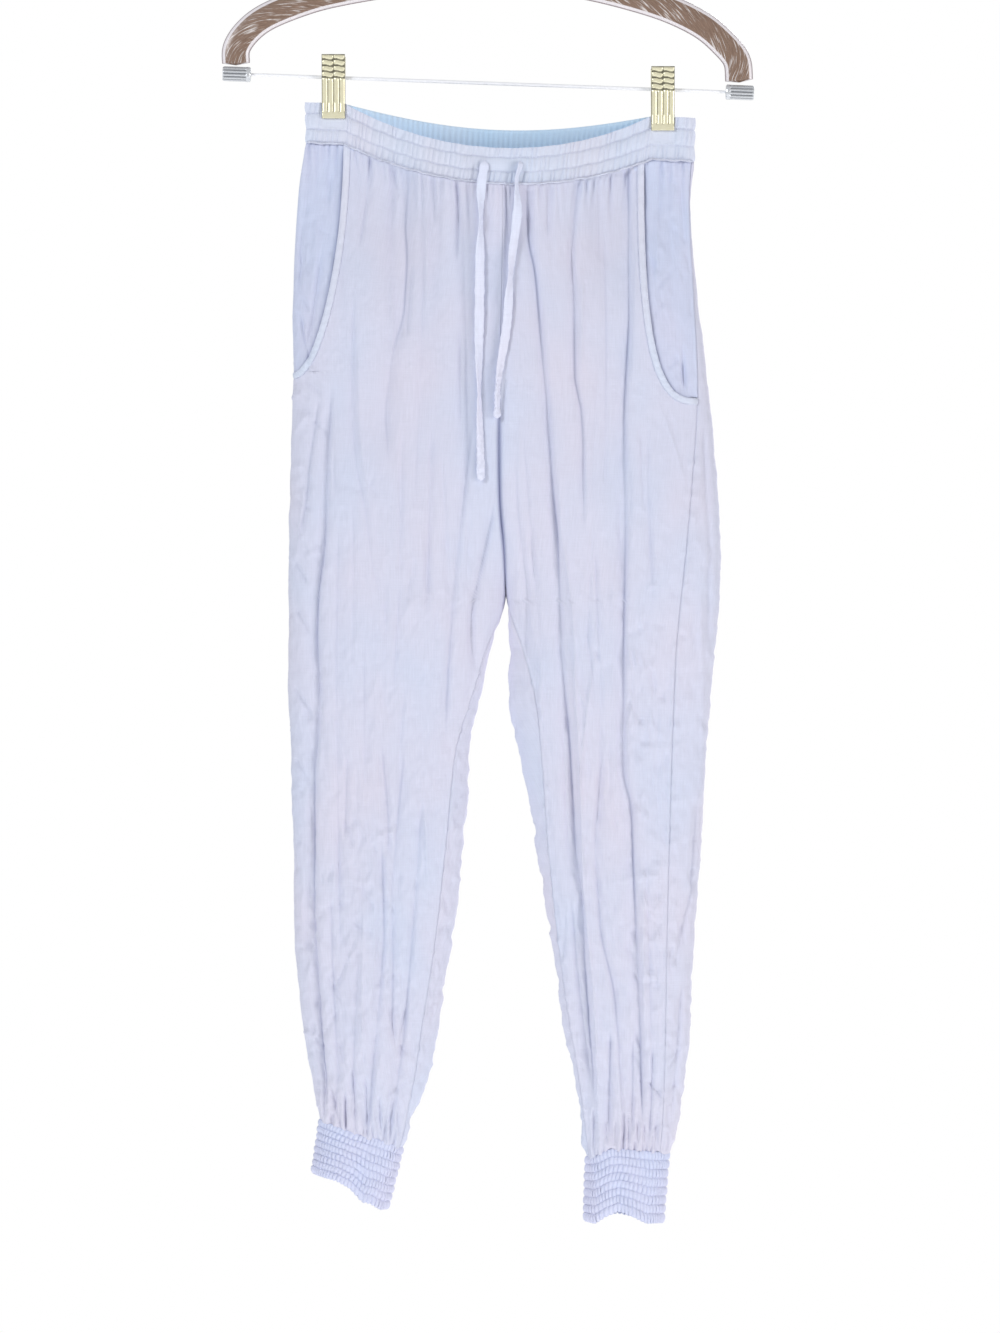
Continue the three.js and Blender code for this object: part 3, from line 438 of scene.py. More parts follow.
def along_waist(x):
    """Share of the way from the right edge of the waist to the left one."""
    return (x - WAIST_RIGHT_EDGE) / (WAIST_LEFT_EDGE - WAIST_RIGHT_EDGE)


def waist_line(x, front, right_end, left_end, front_sag, back_sag):
    """A line along the waist that sags between the clips, more at the front than at the back."""
    sag = np.where(front, front_sag, back_sag)
    return mix(right_end, left_end, along_waist(x)) - sag * (1 - between_clips(x) ** 2)


def waist_seam(x, front):
    """Height of the seam between waistband and legs."""
    return waist_line(x, front, -243.4 * MM, -259.7 * MM, 29.5 * MM, 12 * MM)


def waist_top(x, front):
    """Height of the waistband's top edge."""
    return waist_line(x, front, -208.5 * MM, -222 * MM, 35 * MM, 14.5 * MM)


def closing_angle(z):
    """The half trunk's section ends at the rise at 90 degrees and closes to 180 at the crotch."""
    t = np.clip((RISE_CLOSES_FROM - z) / (RISE_CLOSES_FROM - CROTCH), 0, 1)
    return math.pi / 2 * (1 + t ** 1.3)


def inner_edge(leg, z):
    """x of a leg's inner edge: the rise seam down to the crotch, and the inseam's fold below."""
    rise = along(rise_line, "x", z) + leg["sign"] * HALF_RISE_GAP
    return np.where(z >= CROTCH, rise, along(leg["rows"], "inner", z))


def section_point(leg, angle, z):
    """Point of a leg's section: x runs from the outer fold to the inner edge as 1 - cos(angle),
    and the half depth swells as a power of sin(angle); near the waist it turns into the pinched
    and bowed waist."""
    outer = along(leg["rows"], "outer", z)
    inner = inner_edge(leg, z)
    x = outer + (inner - outer) * (1 - np.cos(angle)) / (1 - np.cos(closing_angle(z)))
    sine = np.sin(angle)
    swell = np.abs(sine)
    full = np.where(sine > 0, along(leg["rows"], "front", z), along(leg["rows"], "back", z))
    pinched = PINCHED_HALF * swell ** PINCHED_ROUNDNESS + WAIST_BOW * bow_at(x)
    half = mix(pinched, full * swell ** SECTION_ROUNDNESS,
               ease(WAIST_LEVEL, WAIST_LEVEL - WAIST_FADE, z))
    return x, np.where(sine > 0, -half, half)


def angle_at(leg, z, x):
    """Angle at which a leg's section has the given x on its front."""
    outer = along(leg["rows"], "outer", z)
    reach = (x - outer) / (inner_edge(leg, z) - outer) * (1 - np.cos(closing_angle(z)))
    return np.arccos(np.clip(1 - reach, -1, 1))


def pocket_edge_x(leg, z):
    """The pocket's cut edge runs down from the waist and scoops out to the side seam."""
    x_top, z_bottom, roundness = leg["pocket"]
    down = np.clip((WAIST_LEVEL - z) / (WAIST_LEVEL - z_bottom), 0, 1)
    out = 1 - (1 - down ** roundness) ** (1 / roundness)
    return mix(x_top, along(leg["rows"], "seam", z), out)


def row_shift(leg, x, z, front):
    """Rows follow the waist seam at the top and hang a little over the cuff at the bottom, in
    small scallops."""
    top = waist_seam(x, front) - ROW_GAP - WAIST_LEVEL
    (inner_x, inner_z), (outer_x, outer_z) = leg["cuff_top"]
    across = (x - inner_x) / (outer_x - inner_x)
    bend = np.where(front, np.interp(across, *leg["cuff_bend_top"]), 0) * MM
    scallop = 1.4 * MM * np.cos(across * 41 + 2 * np.sin(across * 9)) - 1.2 * MM
    bottom = mix(inner_z, outer_z, across) + bend + scallop - leg["ankle"]
    return (top * ease(WAIST_LEVEL - WAIST_FADE, WAIST_LEVEL, z)
            + bottom * ease(leg["ankle"] + 110 * MM, leg["ankle"], z))


# Long creases of the hanging cloth, in millimetres: how deep (minus) or raised (plus), the half
# width on the lower-x and on the higher-x side, and the places (x, z) that the line runs through.
RIGHT_FRONT_LONG = [
    (-2.0, 2.5, 2.2, ((-109.2, -257), (-113.5, -301), (-118.7, -337))),
    (-1.4, 1.8, 1.8, ((-91.2, -258), (-85.1, -293))),
    (-4.6, 13, 5, ((-75.7, -262), (-80, -314), (-77.4, -342), (-80, -394), (-88.6, -420),
                   (-96.3, -476), (-92, -525))),
    (-2.2, 4, 2, ((-73.1, -345), (-77.4, -415))),
    (-1.5, 2, 2.6, ((-123.8, -363), (-124.7, -479), (-120.4, -524), (-113.5, -554),
                    (-106.6, -607), (-100.6, -630), (-97.2, -652))),
    (1.2, 2, 2, ((-119, -420), (-117, -500), (-109, -560))),
    (-1.2, 2, 2, ((-123, -545), (-123.8, -695))),
    (-2.4, 3, 2, ((-54.2, -260), (-54.2, -318))),
    (-2.8, 1.6, 1.5, ((-34.4, -266), (-33.5, -314), (-34.4, -350))),
    (-5.5, 6.5, 2.4, ((-141, -450), (-145.3, -503), (-147.9, -583), (-153.9, -630),
                      (-155.7, -673), (-153.1, -711), (-154.8, -761), (-157.4, -774),
                      (-158.2, -906), (-154.8, -961), (-151.4, -1018), (-145.3, -1078))),
    (-2.8, 3, 2.5, ((-151.4, -455), (-160, -509), (-164.3, -554), (-173.7, -600))),
    (-2.6, 3, 3, ((-55.9, -480), (-59.3, -650))),
    (-1.6, 1.5, 1.5, ((-60.2, -575), (-60.2, -650))),
    (-2.0, 2, 4, ((-82.6, -620), (-88.6, -715))),
    (-3.4, 5, 2.5, ((-21, -480), (-23.2, -509), (-31.8, -583), (-37.8, -642), (-39.6, -679),
                    (-41.3, -702), (-43.9, -760))),
    (-3.8, 4, 2.2, ((-1, -540), (-2.6, -562), (-14.6, -619), (-20.6, -642), (-20.6, -673),
                    (-14.6, -712))),
    (-1.2, 1.6, 1.6, ((-100.6, -765), (-100.6, -799))),
    (-1.8, 2, 3, ((-128.1, -765), (-130.7, -848))),
    (-2.0, 7, 6, ((-113.5, -680), (-113.5, -805))),
    (-2.6, 3, 3, ((-98.9, -755), (-92.9, -823), (-92.9, -865))),
    (-3.4, 6, 2.4, ((-98.9, -830), (-96.3, -924), (-100.6, -980), (-105.8, -1036),
                    (-110.1, -1096))),
    (-3.4, 3, 5, ((-78.3, -755), (-89.4, -879), (-88.6, -943), (-89.4, -1020))),
    (2.0, 4, 4, ((-106, -840), (-104, -930), (-110, -1010))),
    (-3.0, 4, 2, ((-63, -800), (-70, -900), (-78, -1000), (-88, -1080))),
    (-2.4, 9, 4, ((-30, -285), (-27, -400), (-25, -520))),
    (-1.8, 4, 8, ((-62, -330), (-66, -460), (-70, -560))),
    (-2.0, 3, 6, ((-136, -560), (-138, -700), (-136, -840), (-134, -960))),
    (-2.6, 3, 4, ((-143, -880), (-141, -960), (-136, -1060))),
    (-2.2, 3, 3, ((-118, -930), (-122, -1010), (-126, -1090))),
]
LEFT_FRONT_LONG = [
    (-5.6, 6, 2.4, ((25.8, -270), (27.5, -332), (32.7, -353), (40.4, -443), (43, -464),
                    (47.3, -538), (51.6, -583), (53.3, -642), (55, -687), (61.9, -761),
                    (66.2, -849), (72.2, -887), (74, -943), (77.4, -999), (83.4, -1075))),
    (2.6, 1.8, 2.2, ((53.3, -570), (61.9, -622), (65.4, -657), (67.1, -717), (71.4, -788),
                     (74, -890), (81.7, -961), (85.1, -1018), (86.9, -1104))),
    (-2.0, 1.5, 1.5, ((43.9, -272), (43.9, -328))),
    (-4.0, 4, 1.5, ((71.4, -270), (67.1, -311), (64.5, -342), (66.2, -368), (67.1, -456),
                    (71.4, -464), (74, -500), (74, -582))),
    (-1.4, 4, 4, ((88, -268), (88, -350))),
    (-5.2, 14, 2.2, ((113.5, -266), (113.5, -404), (109.2, -473), (110.1, -583),
                     (108.4, -673), (108.4, -788), (115.2, -812), (117, -868), (120.4, -943),
                     (123, -999), (124.7, -1093))),
    (-3.8, 2.2, 6, ((90.3, -760), (83.4, -849), (88.6, -924), (99.8, -969), (104.1, -1014),
                    (107.5, -1085))),
    (-2.0, 2, 2.5, ((83.4, -590), (87.7, -690))),
    (-2.0, 2, 3, ((75.7, -655), (83.4, -712))),
    (-2.0, 3, 3, ((88.6, -690), (88.6, -800))),
    (-2.6, 2.5, 3, ((16, -520), (18.1, -568), (24.9, -628), (23.2, -673), (29.2, -730))),
    (1.1, 1.3, 1.3, ((136.7, -464), (148.8, -494), (163.4, -544))),
    (-1.6, 5, 3, ((22, -480), (30, -600), (40, -700))),
    (-2.4, 6, 4, ((92, -300), (94, -420), (92, -560))),
    (1.6, 3, 5, ((100, -560), (99, -700), (103, -820))),
    (-2.2, 4, 3, ((128, -480), (130, -560), (134, -640))),
    (-2.6, 3, 3, ((62, -880), (68, -960), (80, -1060))),
    (-4.2, 4, 3.5, ((97, -1000), (96, -1050), (95.5, -1104))),
    (2.2, 2.4, 2.4, ((104, -1030), (106, -1070), (109, -1106))),
    (-4.0, 5, 4, ((117, -1010), (116, -1060), (115, -1104))),
    (-3.2, 2, 2.2, ((134, -1010), (133, -1060), (130, -1108))),
    (-1.8, 3, 3, ((127, -850), (131, -940), (133, -1030))),
]
LEFT_BACK_LONG = [
    (-4.8, 6, 3, ((34, -250), (44, -400), (48, -580))),
    (-4.8, 10, 3, ((82, -248), (86, -450), (80, -660))),
    (-4.4, 4, 9, ((124, -248), (128, -400), (122, -580))),
    (-2.4, 2, 2, ((60, -246), (62, -330))),
    (-2.2, 2, 2, ((104, -246), (102, -350), (100, -520))),
    (-2.4, 3, 3, ((148, -256), (150, -380), (158, -520))),
    (2.0, 4, 4, ((60, -340), (64, -540))),
    (-3.0, 4, 2, ((20, -400), (26, -560), (40, -720))),
    (-4.8, 8, 3, ((70, -640), (84, -850), (98, -1100))),
    (-4.6, 3, 9, ((124, -660), (123, -900), (126, -1100))),
    (-2.6, 3, 3, ((46, -600), (56, -760), (66, -900))),
    (2.2, 4, 4, ((92, -740), (100, -880), (106, -1010))),
    (-2.4, 3, 5, ((150, -600), (150, -760), (144, -920))),
    (-3.2, 3, 3, ((106, -880), (110, -1000), (112, -1104))),
    (-2.6, 3, 3, ((138, -960), (134, -1040), (132, -1104))),
]
RIGHT_BACK_LONG = [
    (-4.8, 3, 6, ((-30, -250), (-36, -400), (-42, -560))),
    (-4.8, 4, 10, ((-72, -246), (-80, -450), (-78, -680))),
    (-4.4, 9, 4, ((-122, -240), (-130, -430), (-134, -620))),
    (-2.4, 2, 2, ((-52, -246), (-55, -340))),
    (-2.2, 2, 2, ((-96, -244), (-98, -380), (-104, -560))),
    (-2.4, 3, 3, ((-148, -240), (-150, -380), (-156, -540))),
    (2.0, 4, 4, ((-56, -360), (-58, -520))),
    (-3.0, 2, 4, ((-14, -420), (-22, -560), (-34, -700))),
    (-4.8, 3, 8, ((-66, -680), (-84, -850), (-104, -1085))),
    (-4.6, 9, 3, ((-130, -650), (-137, -850), (-130, -1080))),
    (-2.6, 3, 3, ((-46, -600), (-56, -740), (-66, -860))),
    (2.2, 4, 4, ((-98, -720), (-106, -860), (-112, -980))),
    (-2.4, 5, 3, ((-156, -620), (-156, -760), (-150, -900))),
    (-3.2, 3, 3, ((-94, -880), (-100, -980), (-106, -1080))),
    (-2.6, 3, 3, ((-146, -940), (-142, -1010), (-138, -1076))),
]
# What shows of the left back panel from in front: the strip behind the side seam.
LEFT_SIDE_LONG = [
    (-2.0, 2.5, 2.5, ((183, -592), (182.3, -624), (182.3, -680))),
    (-2.0, 2.5, 2.5, ((177, -480), (180, -540), (184, -600))),
    (1.8, 1.8, 1.8, ((173.7, -620), (176.3, -702), (176.3, -770))),
    (-2.8, 2.5, 3, ((173, -800), (167.7, -887), (152.2, -950))),
    (-2.4, 3, 2, ((160, -960), (156, -1020), (150, -1090))),
]

# Short creases in millimetres: from (x0, z0) to (x1, z1), bowed sideways in the middle, deep or
# raised, and the half width on either side of the line.
RIGHT_FRONT_SHORT = [
    (-156, -905, -127, -896, 1, -1.5, 1.8, 1.8), (-119, -922, -140, -972, 0, -1.8, 1.8, 1.8),
    (-148, -955, -132, -985, 0, -1.4, 1.6, 1.6), (-104, -925, -125, -912, 0, -1.2, 1.6, 1.6),
    (-92, -980, -86, -1024, 0, -1.6, 1.8, 1.8), (-76, -980, -84, -1020, 0, -1.4, 1.8, 1.8),
    (-96, -1063, -78, -1052, 0, -1.5, 1.6, 1.6), (-164, -530, -173, -600, 0, 1.4, 1.6, 1.6),
    (-178, -708, -157, -740, 0, -2.2, 2.2, 2.2), (-176, -640, -160, -668, 0, -1.6, 1.8, 1.8),
    (-177, -600, -162, -624, 0, -1.8, 1.8, 1.8), (-176, -550, -158, -560, 0, -1.4, 1.6, 1.6),
    (-177, -770, -162, -792, 0, -1.6, 2, 2), (-176, -840, -160, -852, 0, -1.4, 1.8, 1.8),
    (-175, -470, -158, -480, 1, -1.8, 1.8, 1.8), (-170, -446, -150, -462, 1, -1.4, 1.6, 1.6),
    (-144.5, -1050, -135.5, -1086, 0, -2.4, 2.2, 2), (-124, -1036, -121, -1088, 0, -2.4, 2.2, 2),
    (-113, -1040, -111, -1096, 0, -2.8, 2.2, 2), (-101, -1060, -99, -1100, 0, -2.4, 2, 2),
    (-152, -1030, -148, -1084, 0, -2.4, 2, 2), (-88, -1060, -92, -1102, 0, -2.6, 2, 2),
    (-131, -1058, -130, -1090, 0, -2.2, 1.8, 1.8), (-118, -880, -104, -905, 0, -1.2, 1.6, 1.6),
    (-133, -820, -122, -852, 0, -1.2, 1.8, 1.8), (-70, -600, -78, -640, 0, -1.2, 1.8, 1.8),
]
LEFT_FRONT_SHORT = [
    (118, -654, 152, -663, 1, -1.2, 1.5, 1.5), (111.5, -676, 116, -700, 0, 1.4, 1.3, 1.3),
    (117, -678, 121, -697, 0, 1.4, 1.3, 1.3), (122.5, -682, 127, -698, 0, 1.2, 1.3, 1.3),
    (124.7, -718, 150, -723, 1, -1.2, 1.5, 1.5), (112.7, -731, 129, -751, 0, 1.6, 1.4, 1.4),
    (113, -757, 151, -764, -2, 1.6, 1.8, 1.8), (115, -815, 132, -823, 0, 1.8, 1.6, 1.6),
    (119, -873, 143, -874, 1, 1.8, 1.8, 1.8), (122.6, -886, 133, -906, 0, 1.5, 1.6, 1.6),
    (131, -906, 145, -889, 0, 1.5, 1.6, 1.6), (122.6, -916, 133, -933, 0, 1.4, 1.6, 1.6),
    (131, -933, 144, -912, 0, 1.4, 1.6, 1.6), (121, -956, 142, -961, 0, 2.0, 2, 2),
    (121, -964, 142, -969, 0, -2.0, 2, 2), (126.4, -1047, 143, -1064, 0, -2.2, 1.8, 1.8),
    (83.4, -677, 88, -690, 0, -1.6, 1.6, 1.6), (93, -1080, 94, -1106, 0, -1.8, 1.4, 1.4),
    (108, -1072, 109, -1106, 0, -2.0, 1.4, 1.4), (112.5, -1076, 113, -1106, 0, -1.8, 1.3, 1.3),
    (121, -1080, 121, -1108, 0, -1.8, 1.4, 1.4), (127, -1082, 127, -1108, 0, -1.6, 1.4, 1.4),
    (83, -1070, 82, -1112, 0, -2.4, 2, 1.6), (137, -1084, 136, -1110, 0, -2.0, 1.5, 1.5),
    (101, -1082, 101, -1106, 0, -1.6, 1.3, 1.3), (112, -1030, 124, -1020, 0, 1.2, 1.6, 1.6),
]
CREASE_COLUMNS = ("x0", "z0", "x1", "z1", "bow", "depth", "low", "high")
VALLEY_SHARPNESS = 1.2
LONG_SHARE = 0.95
LONG_FADE = 0.2
LONGEST_FADE = 40 * MM
SHORT_SHARE = 1.5
SHORT_FADE = 0.3
# Painted shade along the bottom of each long trough: half width, strength, depth at full strength
# and how fast it grows with depth.
DARK_HALF = 0.9 * MM
DARK_STRENGTH = 0.85
DARK_FULL_DEPTH = 6
DARK_POWER = 1.6
FAR = 40


def valley(side, low, high):
    """A crease's cross profile: sharp in the middle, with its own half width on either side."""
    reach = np.abs(side) / np.where(side < 0, low, high)
    return np.exp(-np.minimum(reach ** VALLEY_SHARPNESS, FAR))


def bell(side, width):
    """A smooth rounded bump of the given half width."""
    return np.exp(-np.minimum((side / width) ** 2, FAR))


def long_relief(creases, x, z):
    """Each long crease runs along a line x(z) evened out over 18 mm, varies in depth by a quarter
    on its way, and fades out over its last fifth, or 40 mm at most. Also gives the painted shade
    laid into the bottom of the troughs."""
    total = np.zeros_like(x)
    dark = np.zeros_like(x)
    for number, (depth, low, high, places) in enumerate(creases):
        px, pz = np.array(places).T * MM
        line = sum(np.interp(-(z + shift), -pz, px) for shift in (-9 * MM, -3 * MM, 3 * MM, 9 * MM))
        slope = (np.interp(-z - 6 * MM, -pz, px) - np.interp(-z + 6 * MM, -pz, px)) / (12 * MM)
        side = (x - line / 4) / np.sqrt(1 + slope ** 2)
        fade = min(LONGEST_FADE, LONG_FADE * (pz[0] - pz[-1]))
        at_waist = pz[0] > -285 * MM
        start = 1 if at_waist else ease(0, fade, pz[0] - z)
        ends = start * ease(0, fade, z - pz[-1])
        uneven = 1 + 0.25 * np.sin(z / (21 * MM) + 2 * number) * np.cos(z / (37 * MM) + number)
        total += LONG_SHARE * depth * MM * ends * uneven * valley(side, low * MM, high * MM)
        # Painted shade down the middle of each trough, the deeper ones darker.
        if depth < 0:
            broken = 0.6 + 0.4 * np.sin(z / (33 * MM) + 3 * number)
            strength = DARK_STRENGTH * (abs(depth) / DARK_FULL_DEPTH) ** DARK_POWER * ends * broken
            dark += strength * bell(side, DARK_HALF)
    return total, dark


def short_relief(creases, x, z):
    """Sum of short straight or bowed creases that fade out at both ends."""
    total = np.zeros_like(x)
    for crease in creases:
        c = {name: value * MM for name, value in zip(CREASE_COLUMNS, crease)}
        run_x, run_z = c["x1"] - c["x0"], c["z1"] - c["z0"]
        length = math.hypot(run_x, run_z)
        way_x, way_z = run_x / length, run_z / length
        t = ((x - c["x0"]) * way_x + (z - c["z0"]) * way_z) / length
        side = (x - c["x0"]) * -way_z + (z - c["z0"]) * way_x
        side = side - c["bow"] * 4 * t * (1 - t)
        fade = ease(0, SHORT_FADE, t) * ease(0, SHORT_FADE, 1 - t)
        total += SHORT_SHARE * c["depth"] * fade * valley(side, c["low"], c["high"])
    return total


def hanging_creases(seed, count, x_low, x_high, z_top, z_bottom, lengths, depths):
    """Small near-vertical creases, uneven in place, length, depth and width."""
    random = np.random.default_rng(seed)
    x = np.linspace(x_low, x_high, count)
    x = x + random.uniform(-0.5, 0.5, count) * (x_high - x_low) / count
    z = random.uniform(z_bottom, z_top, count)
    length = random.uniform(*lengths, count)
    lean = random.normal(0, 0.04, count)
    depth = random.uniform(*depths, count) * random.choice([-1, -1, 1], count)
    low, high = random.uniform(1, 3.4, (2, count))
    return np.stack([x, z, x + lean * length, z - length, random.normal(0, 1.5, count), depth,
                     low, high], axis=1).tolist()


def crossing_creases(seed, count, x_low, x_high, z_top, z_bottom, deepest=1.4):
    """Short crinkles in any slanting direction, such as folded cloth keeps near its edges."""
    random = np.random.default_rng(seed)
    x = random.uniform(x_low, x_high, count)
    z = random.uniform(z_bottom, z_top, count)
    length = random.uniform(9, 30, count)
    slant = random.uniform(-1.3, 1.3, count)
    depth = random.uniform(0.5, deepest, count) * random.choice([-1, -1, 1], count)
    width = random.uniform(1.5, 2.8, count)
    return np.stack([x, z, x + length * np.sin(slant), z - length * np.cos(slant),
                     random.normal(0, 1, count), depth, width, width], axis=1).tolist()


def seam_crinkles(seed, x, z_top, z_bottom, reach):
    """Short level ridges across a seam, such as a puckered seam has."""
    random = np.random.default_rng(seed)
    creases = []
    z = z_top
    while z > z_bottom:
        half = random.uniform(0.4, 1) * reach
        lean = random.uniform(-5, 5)
        centre = x(z * MM) / MM + random.uniform(0, 0.6) * reach
        creases.append((centre - half, z + lean, centre + half, z - lean, random.normal(0, 1),
                        random.uniform(0.6, 1.5), 1.5, 1.5))
        z -= random.uniform(7, 21)
    return creases


# Gathers in millimetres: how far places stray from even spacing, the shortest and the mean extra
# length, the ranges of depth and width, the length over which the width doubles, the lean, where
# they start, how much the cloth stands out between them, and their troughs' painted shade.
WAIST_GATHERS = {"stray": 0.5, "shortest": 8, "longer": 17, "depth": (0.8, 2.4),
                 "width": (0.8, 1.5), "doubles": 30, "lean": 0.05, "start": (-1, 3),
                 "full": 1.1, "full_at": 6, "full_reach": 12, "dark": 0.07}
ANKLE_GATHERS = {"stray": 0.6, "shortest": 8, "longer": 20, "depth": (1.0, 2.8),
                 "width": (0.7, 1.2), "doubles": 30, "lean": 0.12, "start": (-2, 3),
                 "full": 1.9, "full_at": 11, "full_reach": 11, "dark": 0.049}
WAIST_COUNT = 42
ANKLE_COUNT = 24


def gathers(kind, seed, x, away, low, high, count):
    """Narrow troughs of uneven length that start at a seam and widen as they run away from it.
    Between them the cloth stands out a little. Gives the relief and the troughs' painted shade."""
    random = np.random.default_rng(seed)
    stray = random.normal(0, kind["stray"], count) * (high - low) / count
    places = np.linspace(low, high, count) + stray
    troughs = np.zeros_like(x)
    for place in places:
        length = kind["shortest"] + random.exponential(kind["longer"])
        depth = random.uniform(*kind["depth"])
        width = random.uniform(*kind["width"]) * (1 + away / MM / kind["doubles"])
        lean = random.normal(0, kind["lean"])
        side = x / MM - place - lean * away / MM
        fall = np.exp(-np.maximum(away / MM, 0) / length)
        troughs += depth * fall * bell(side, width)
    start = ease(kind["start"][0] * MM, kind["start"][1] * MM, away)
    full = kind["full"] * np.exp(-((away / MM - kind["full_at"]) / kind["full_reach"]) ** 2)
    return (full - troughs) * MM * start, kind["dark"] * troughs * start


CRUMPLE_SIZES = ((27, 0.5), (19, 0.45), (10, 0.22))
CRUMPLE_WAVES = 7
UPRIGHT = 1.5


def crumple(seed, x, z):
    """A web of faint sharp lines, large and small: folded sums of waves in random directions."""
    random = np.random.default_rng(seed)
    total = np.zeros_like(x)
    for size, depth in CRUMPLE_SIZES:
        waves = np.zeros_like(x)
        for _ in range(CRUMPLE_WAVES):
            way = random.uniform(0, np.pi)
            length = random.uniform(0.55, 1.45) * size * MM
            waves += np.sin(2 * np.pi * (x * math.cos(way) * UPRIGHT + z * math.sin(way)) / length
                            + random.uniform(0, 7))
        total -= depth * np.abs(waves) / 5
    return total * MM


def cuff_top(leg, x):
    """Height of the cuff's top edge in front, which the ankle's cloth follows."""
    (inner_x, inner_z), (outer_x, outer_z) = leg["cuff_top"]
    across = (x - inner_x) / (outer_x - inner_x)
    return mix(inner_z, outer_z, across)


def uneven_wave(seed, z, spacing, count=400):
    """A wave along z that is random from one place to the next."""
    values = np.random.default_rng(seed).uniform(-1, 1, count)
    place = -z / spacing
    low = np.floor(place).astype(int)
    return mix(values[low % count], values[(low + 1) % count], ease(0, 1, place - low))


INNER_CRINKLE = 1.6
OUTER_CRINKLE = 0.6


def edge_crinkles(leg, x, y, z):
    """Crinkles that push the folded edges in and out, alike on both panels. The inseam's edge is
    the more uneven one."""
    inner = along(leg["rows"], "inner", z)
    outer = along(leg["rows"], "outer", z)
    at_inner = ease(22 * MM, 8 * MM, abs(x - inner)) * ease(-640 * MM, -680 * MM, z)
    at_outer = ease(18 * MM, 6 * MM, abs(x - outer)) * ease(-330 * MM, -420 * MM, z)
    slanting = z + 0.7 * y
    seed = 60 + leg["sign"]
    wave = 0.6 * uneven_wave(seed, slanting, 9 * MM) + uneven_wave(seed + 2, slanting, 23 * MM)
    near_edge = np.exp(-(y / (11 * MM)) ** 2) * ease(leg["ankle"], leg["ankle"] + 40 * MM, z)
    return wave * MM * near_edge * (INNER_CRINKLE * at_inner + OUTER_CRINKLE * at_outer)


SECTION_TURN = 0.002
NORMAL_STEPS = (3 * MM, 8 * MM, 14 * MM)
CRUMPLED_ABOVE = 0.8
CRUMPLED_BELOW = 1.5


def leg_surface(leg, angle, z, front):
    """A panel's points: the leg's section, shifted at waist and cuff, with its outward normals,
    evened out over 28 mm of height, the depth of its own folds, the depth of the crinkles that it
    shares with the panel beside it, and the painted shade of its creases and gathers."""
    def smooth(angle, z):
        x, y = section_point(leg, angle, z)
        return np.stack([x, y, z + row_shift(leg, x, z, y < 0)], axis=-1)

    base = smooth(angle, z)
    normal = 0
    across = smooth(angle + SECTION_TURN, z) - smooth(angle - SECTION_TURN, z)
    for step in NORMAL_STEPS:
        upwards = smooth(angle, z - step) - smooth(angle, z + step)
        normal = normal + np.cross(across, upwards) / step
    normal *= leg["sign"] / np.maximum(np.linalg.norm(normal, axis=-1, keepdims=True), 1e-12)
    x, y, shown_z = base[..., 0], base[..., 1], base[..., 2]
    seed = 4 + leg["sign"]
    in_front = ease(-1.5 * MM, -4 * MM, y)
    behind = ease(1.5 * MM, 4 * MM, y)
    own, short = leg["long"], leg["short"]
    before, dark = long_relief(own["front" if front else "side"], x, shown_z)
    before += short_relief(short["front" if front else "side"], x, shown_z)
    depth = before * in_front
    dark = dark * in_front
    if not front:
        after, dark_after = long_relief(own["back"], x, shown_z)
        depth += behind * (after + short_relief(short["back"], x, shown_z))
        dark += behind * dark_after
    low, high = sorted((leg["waist"][0] / MM, leg["waist"][1] / MM))
    under = waist_seam(x, y < 0) - shown_z
    gathered, gathered_dark = gathers(WAIST_GATHERS, seed + front, x, under, low, high, WAIST_COUNT)
    above = shown_z - cuff_top(leg, x)
    ankle_low, ankle_high = sorted(point[0] / MM for point in leg["cuff_top"])
    drawn_in, drawn_dark = gathers(ANKLE_GATHERS, seed + front, x, above, ankle_low, ankle_high,
                                   ANKLE_COUNT)
    depth += gathered + drawn_in
    dark += gathered_dark + drawn_dark
    crumpled = CRUMPLED_ABOVE + CRUMPLED_BELOW * ease(-400 * MM, -900 * MM, shown_z)
    depth += crumple(seed + 2 * front, x, shown_z) * crumpled
    shared = edge_crinkles(leg, x, y, shown_z)
    shared = shared + short_relief(short["seam"], x, shown_z) * in_front
    return base, normal, depth * ease(-1 * MM, 5 * MM, under), shared, np.clip(dark, 0, 1)


def seam_angles(leg, z):
    """Angles of the side seam and of the inseam, which is the rise above the crotch."""
    seam = angle_at(leg, z, along(leg["rows"], "seam", z))
    inseam = np.where(z >= CROTCH, closing_angle(z),
                      angle_at(leg, z, along(leg["rows"], "inseam", z)))
    return seam, inseam


ROW_STEPS = 161


def row_lengths(leg, z, start, end):
    """Running length of each row between two angles, and the angles that it is known at."""
    dense = mix(start[:, None], end[:, None], np.linspace(0, 1, ROW_STEPS)[None])
    x, y = section_point(leg, dense, z[:, None])
    steps = np.hypot(np.diff(x, axis=1), np.diff(y, axis=1))
    return np.concatenate([np.zeros((len(z), 1)), np.cumsum(steps, axis=1)], axis=1), dense


def spread_angles(lengths, dense, first, last, columns):
    """Angles that divide each row evenly by its length from first to last."""
    wanted = mix(first[:, None], last[:, None], np.linspace(0, 1, columns)[None])
    angles = np.stack([np.interp(w, l, a) for w, l, a in zip(wanted, lengths, dense)])
    return angles, wanted


def pocket_levels(leg, count):
    """Rows of the pocket mouth, closest together where the scoop runs level."""
    share = np.linspace(0, 1, count)
    return mix(WAIST_LEVEL, leg["pocket"][1], 0.8 * np.sin(share * np.pi / 2) + 0.2 * share)


def side_seam_x(leg):
    """The side seam's x at a height, as a function."""
    return lambda z: float(along(leg["rows"], "seam", np.array([z]))[0])


def inseam_x(leg):
    """The inseam's x at a height, as a function."""
    return lambda z: float(along(leg["rows"], "inseam", np.array([z]))[0])


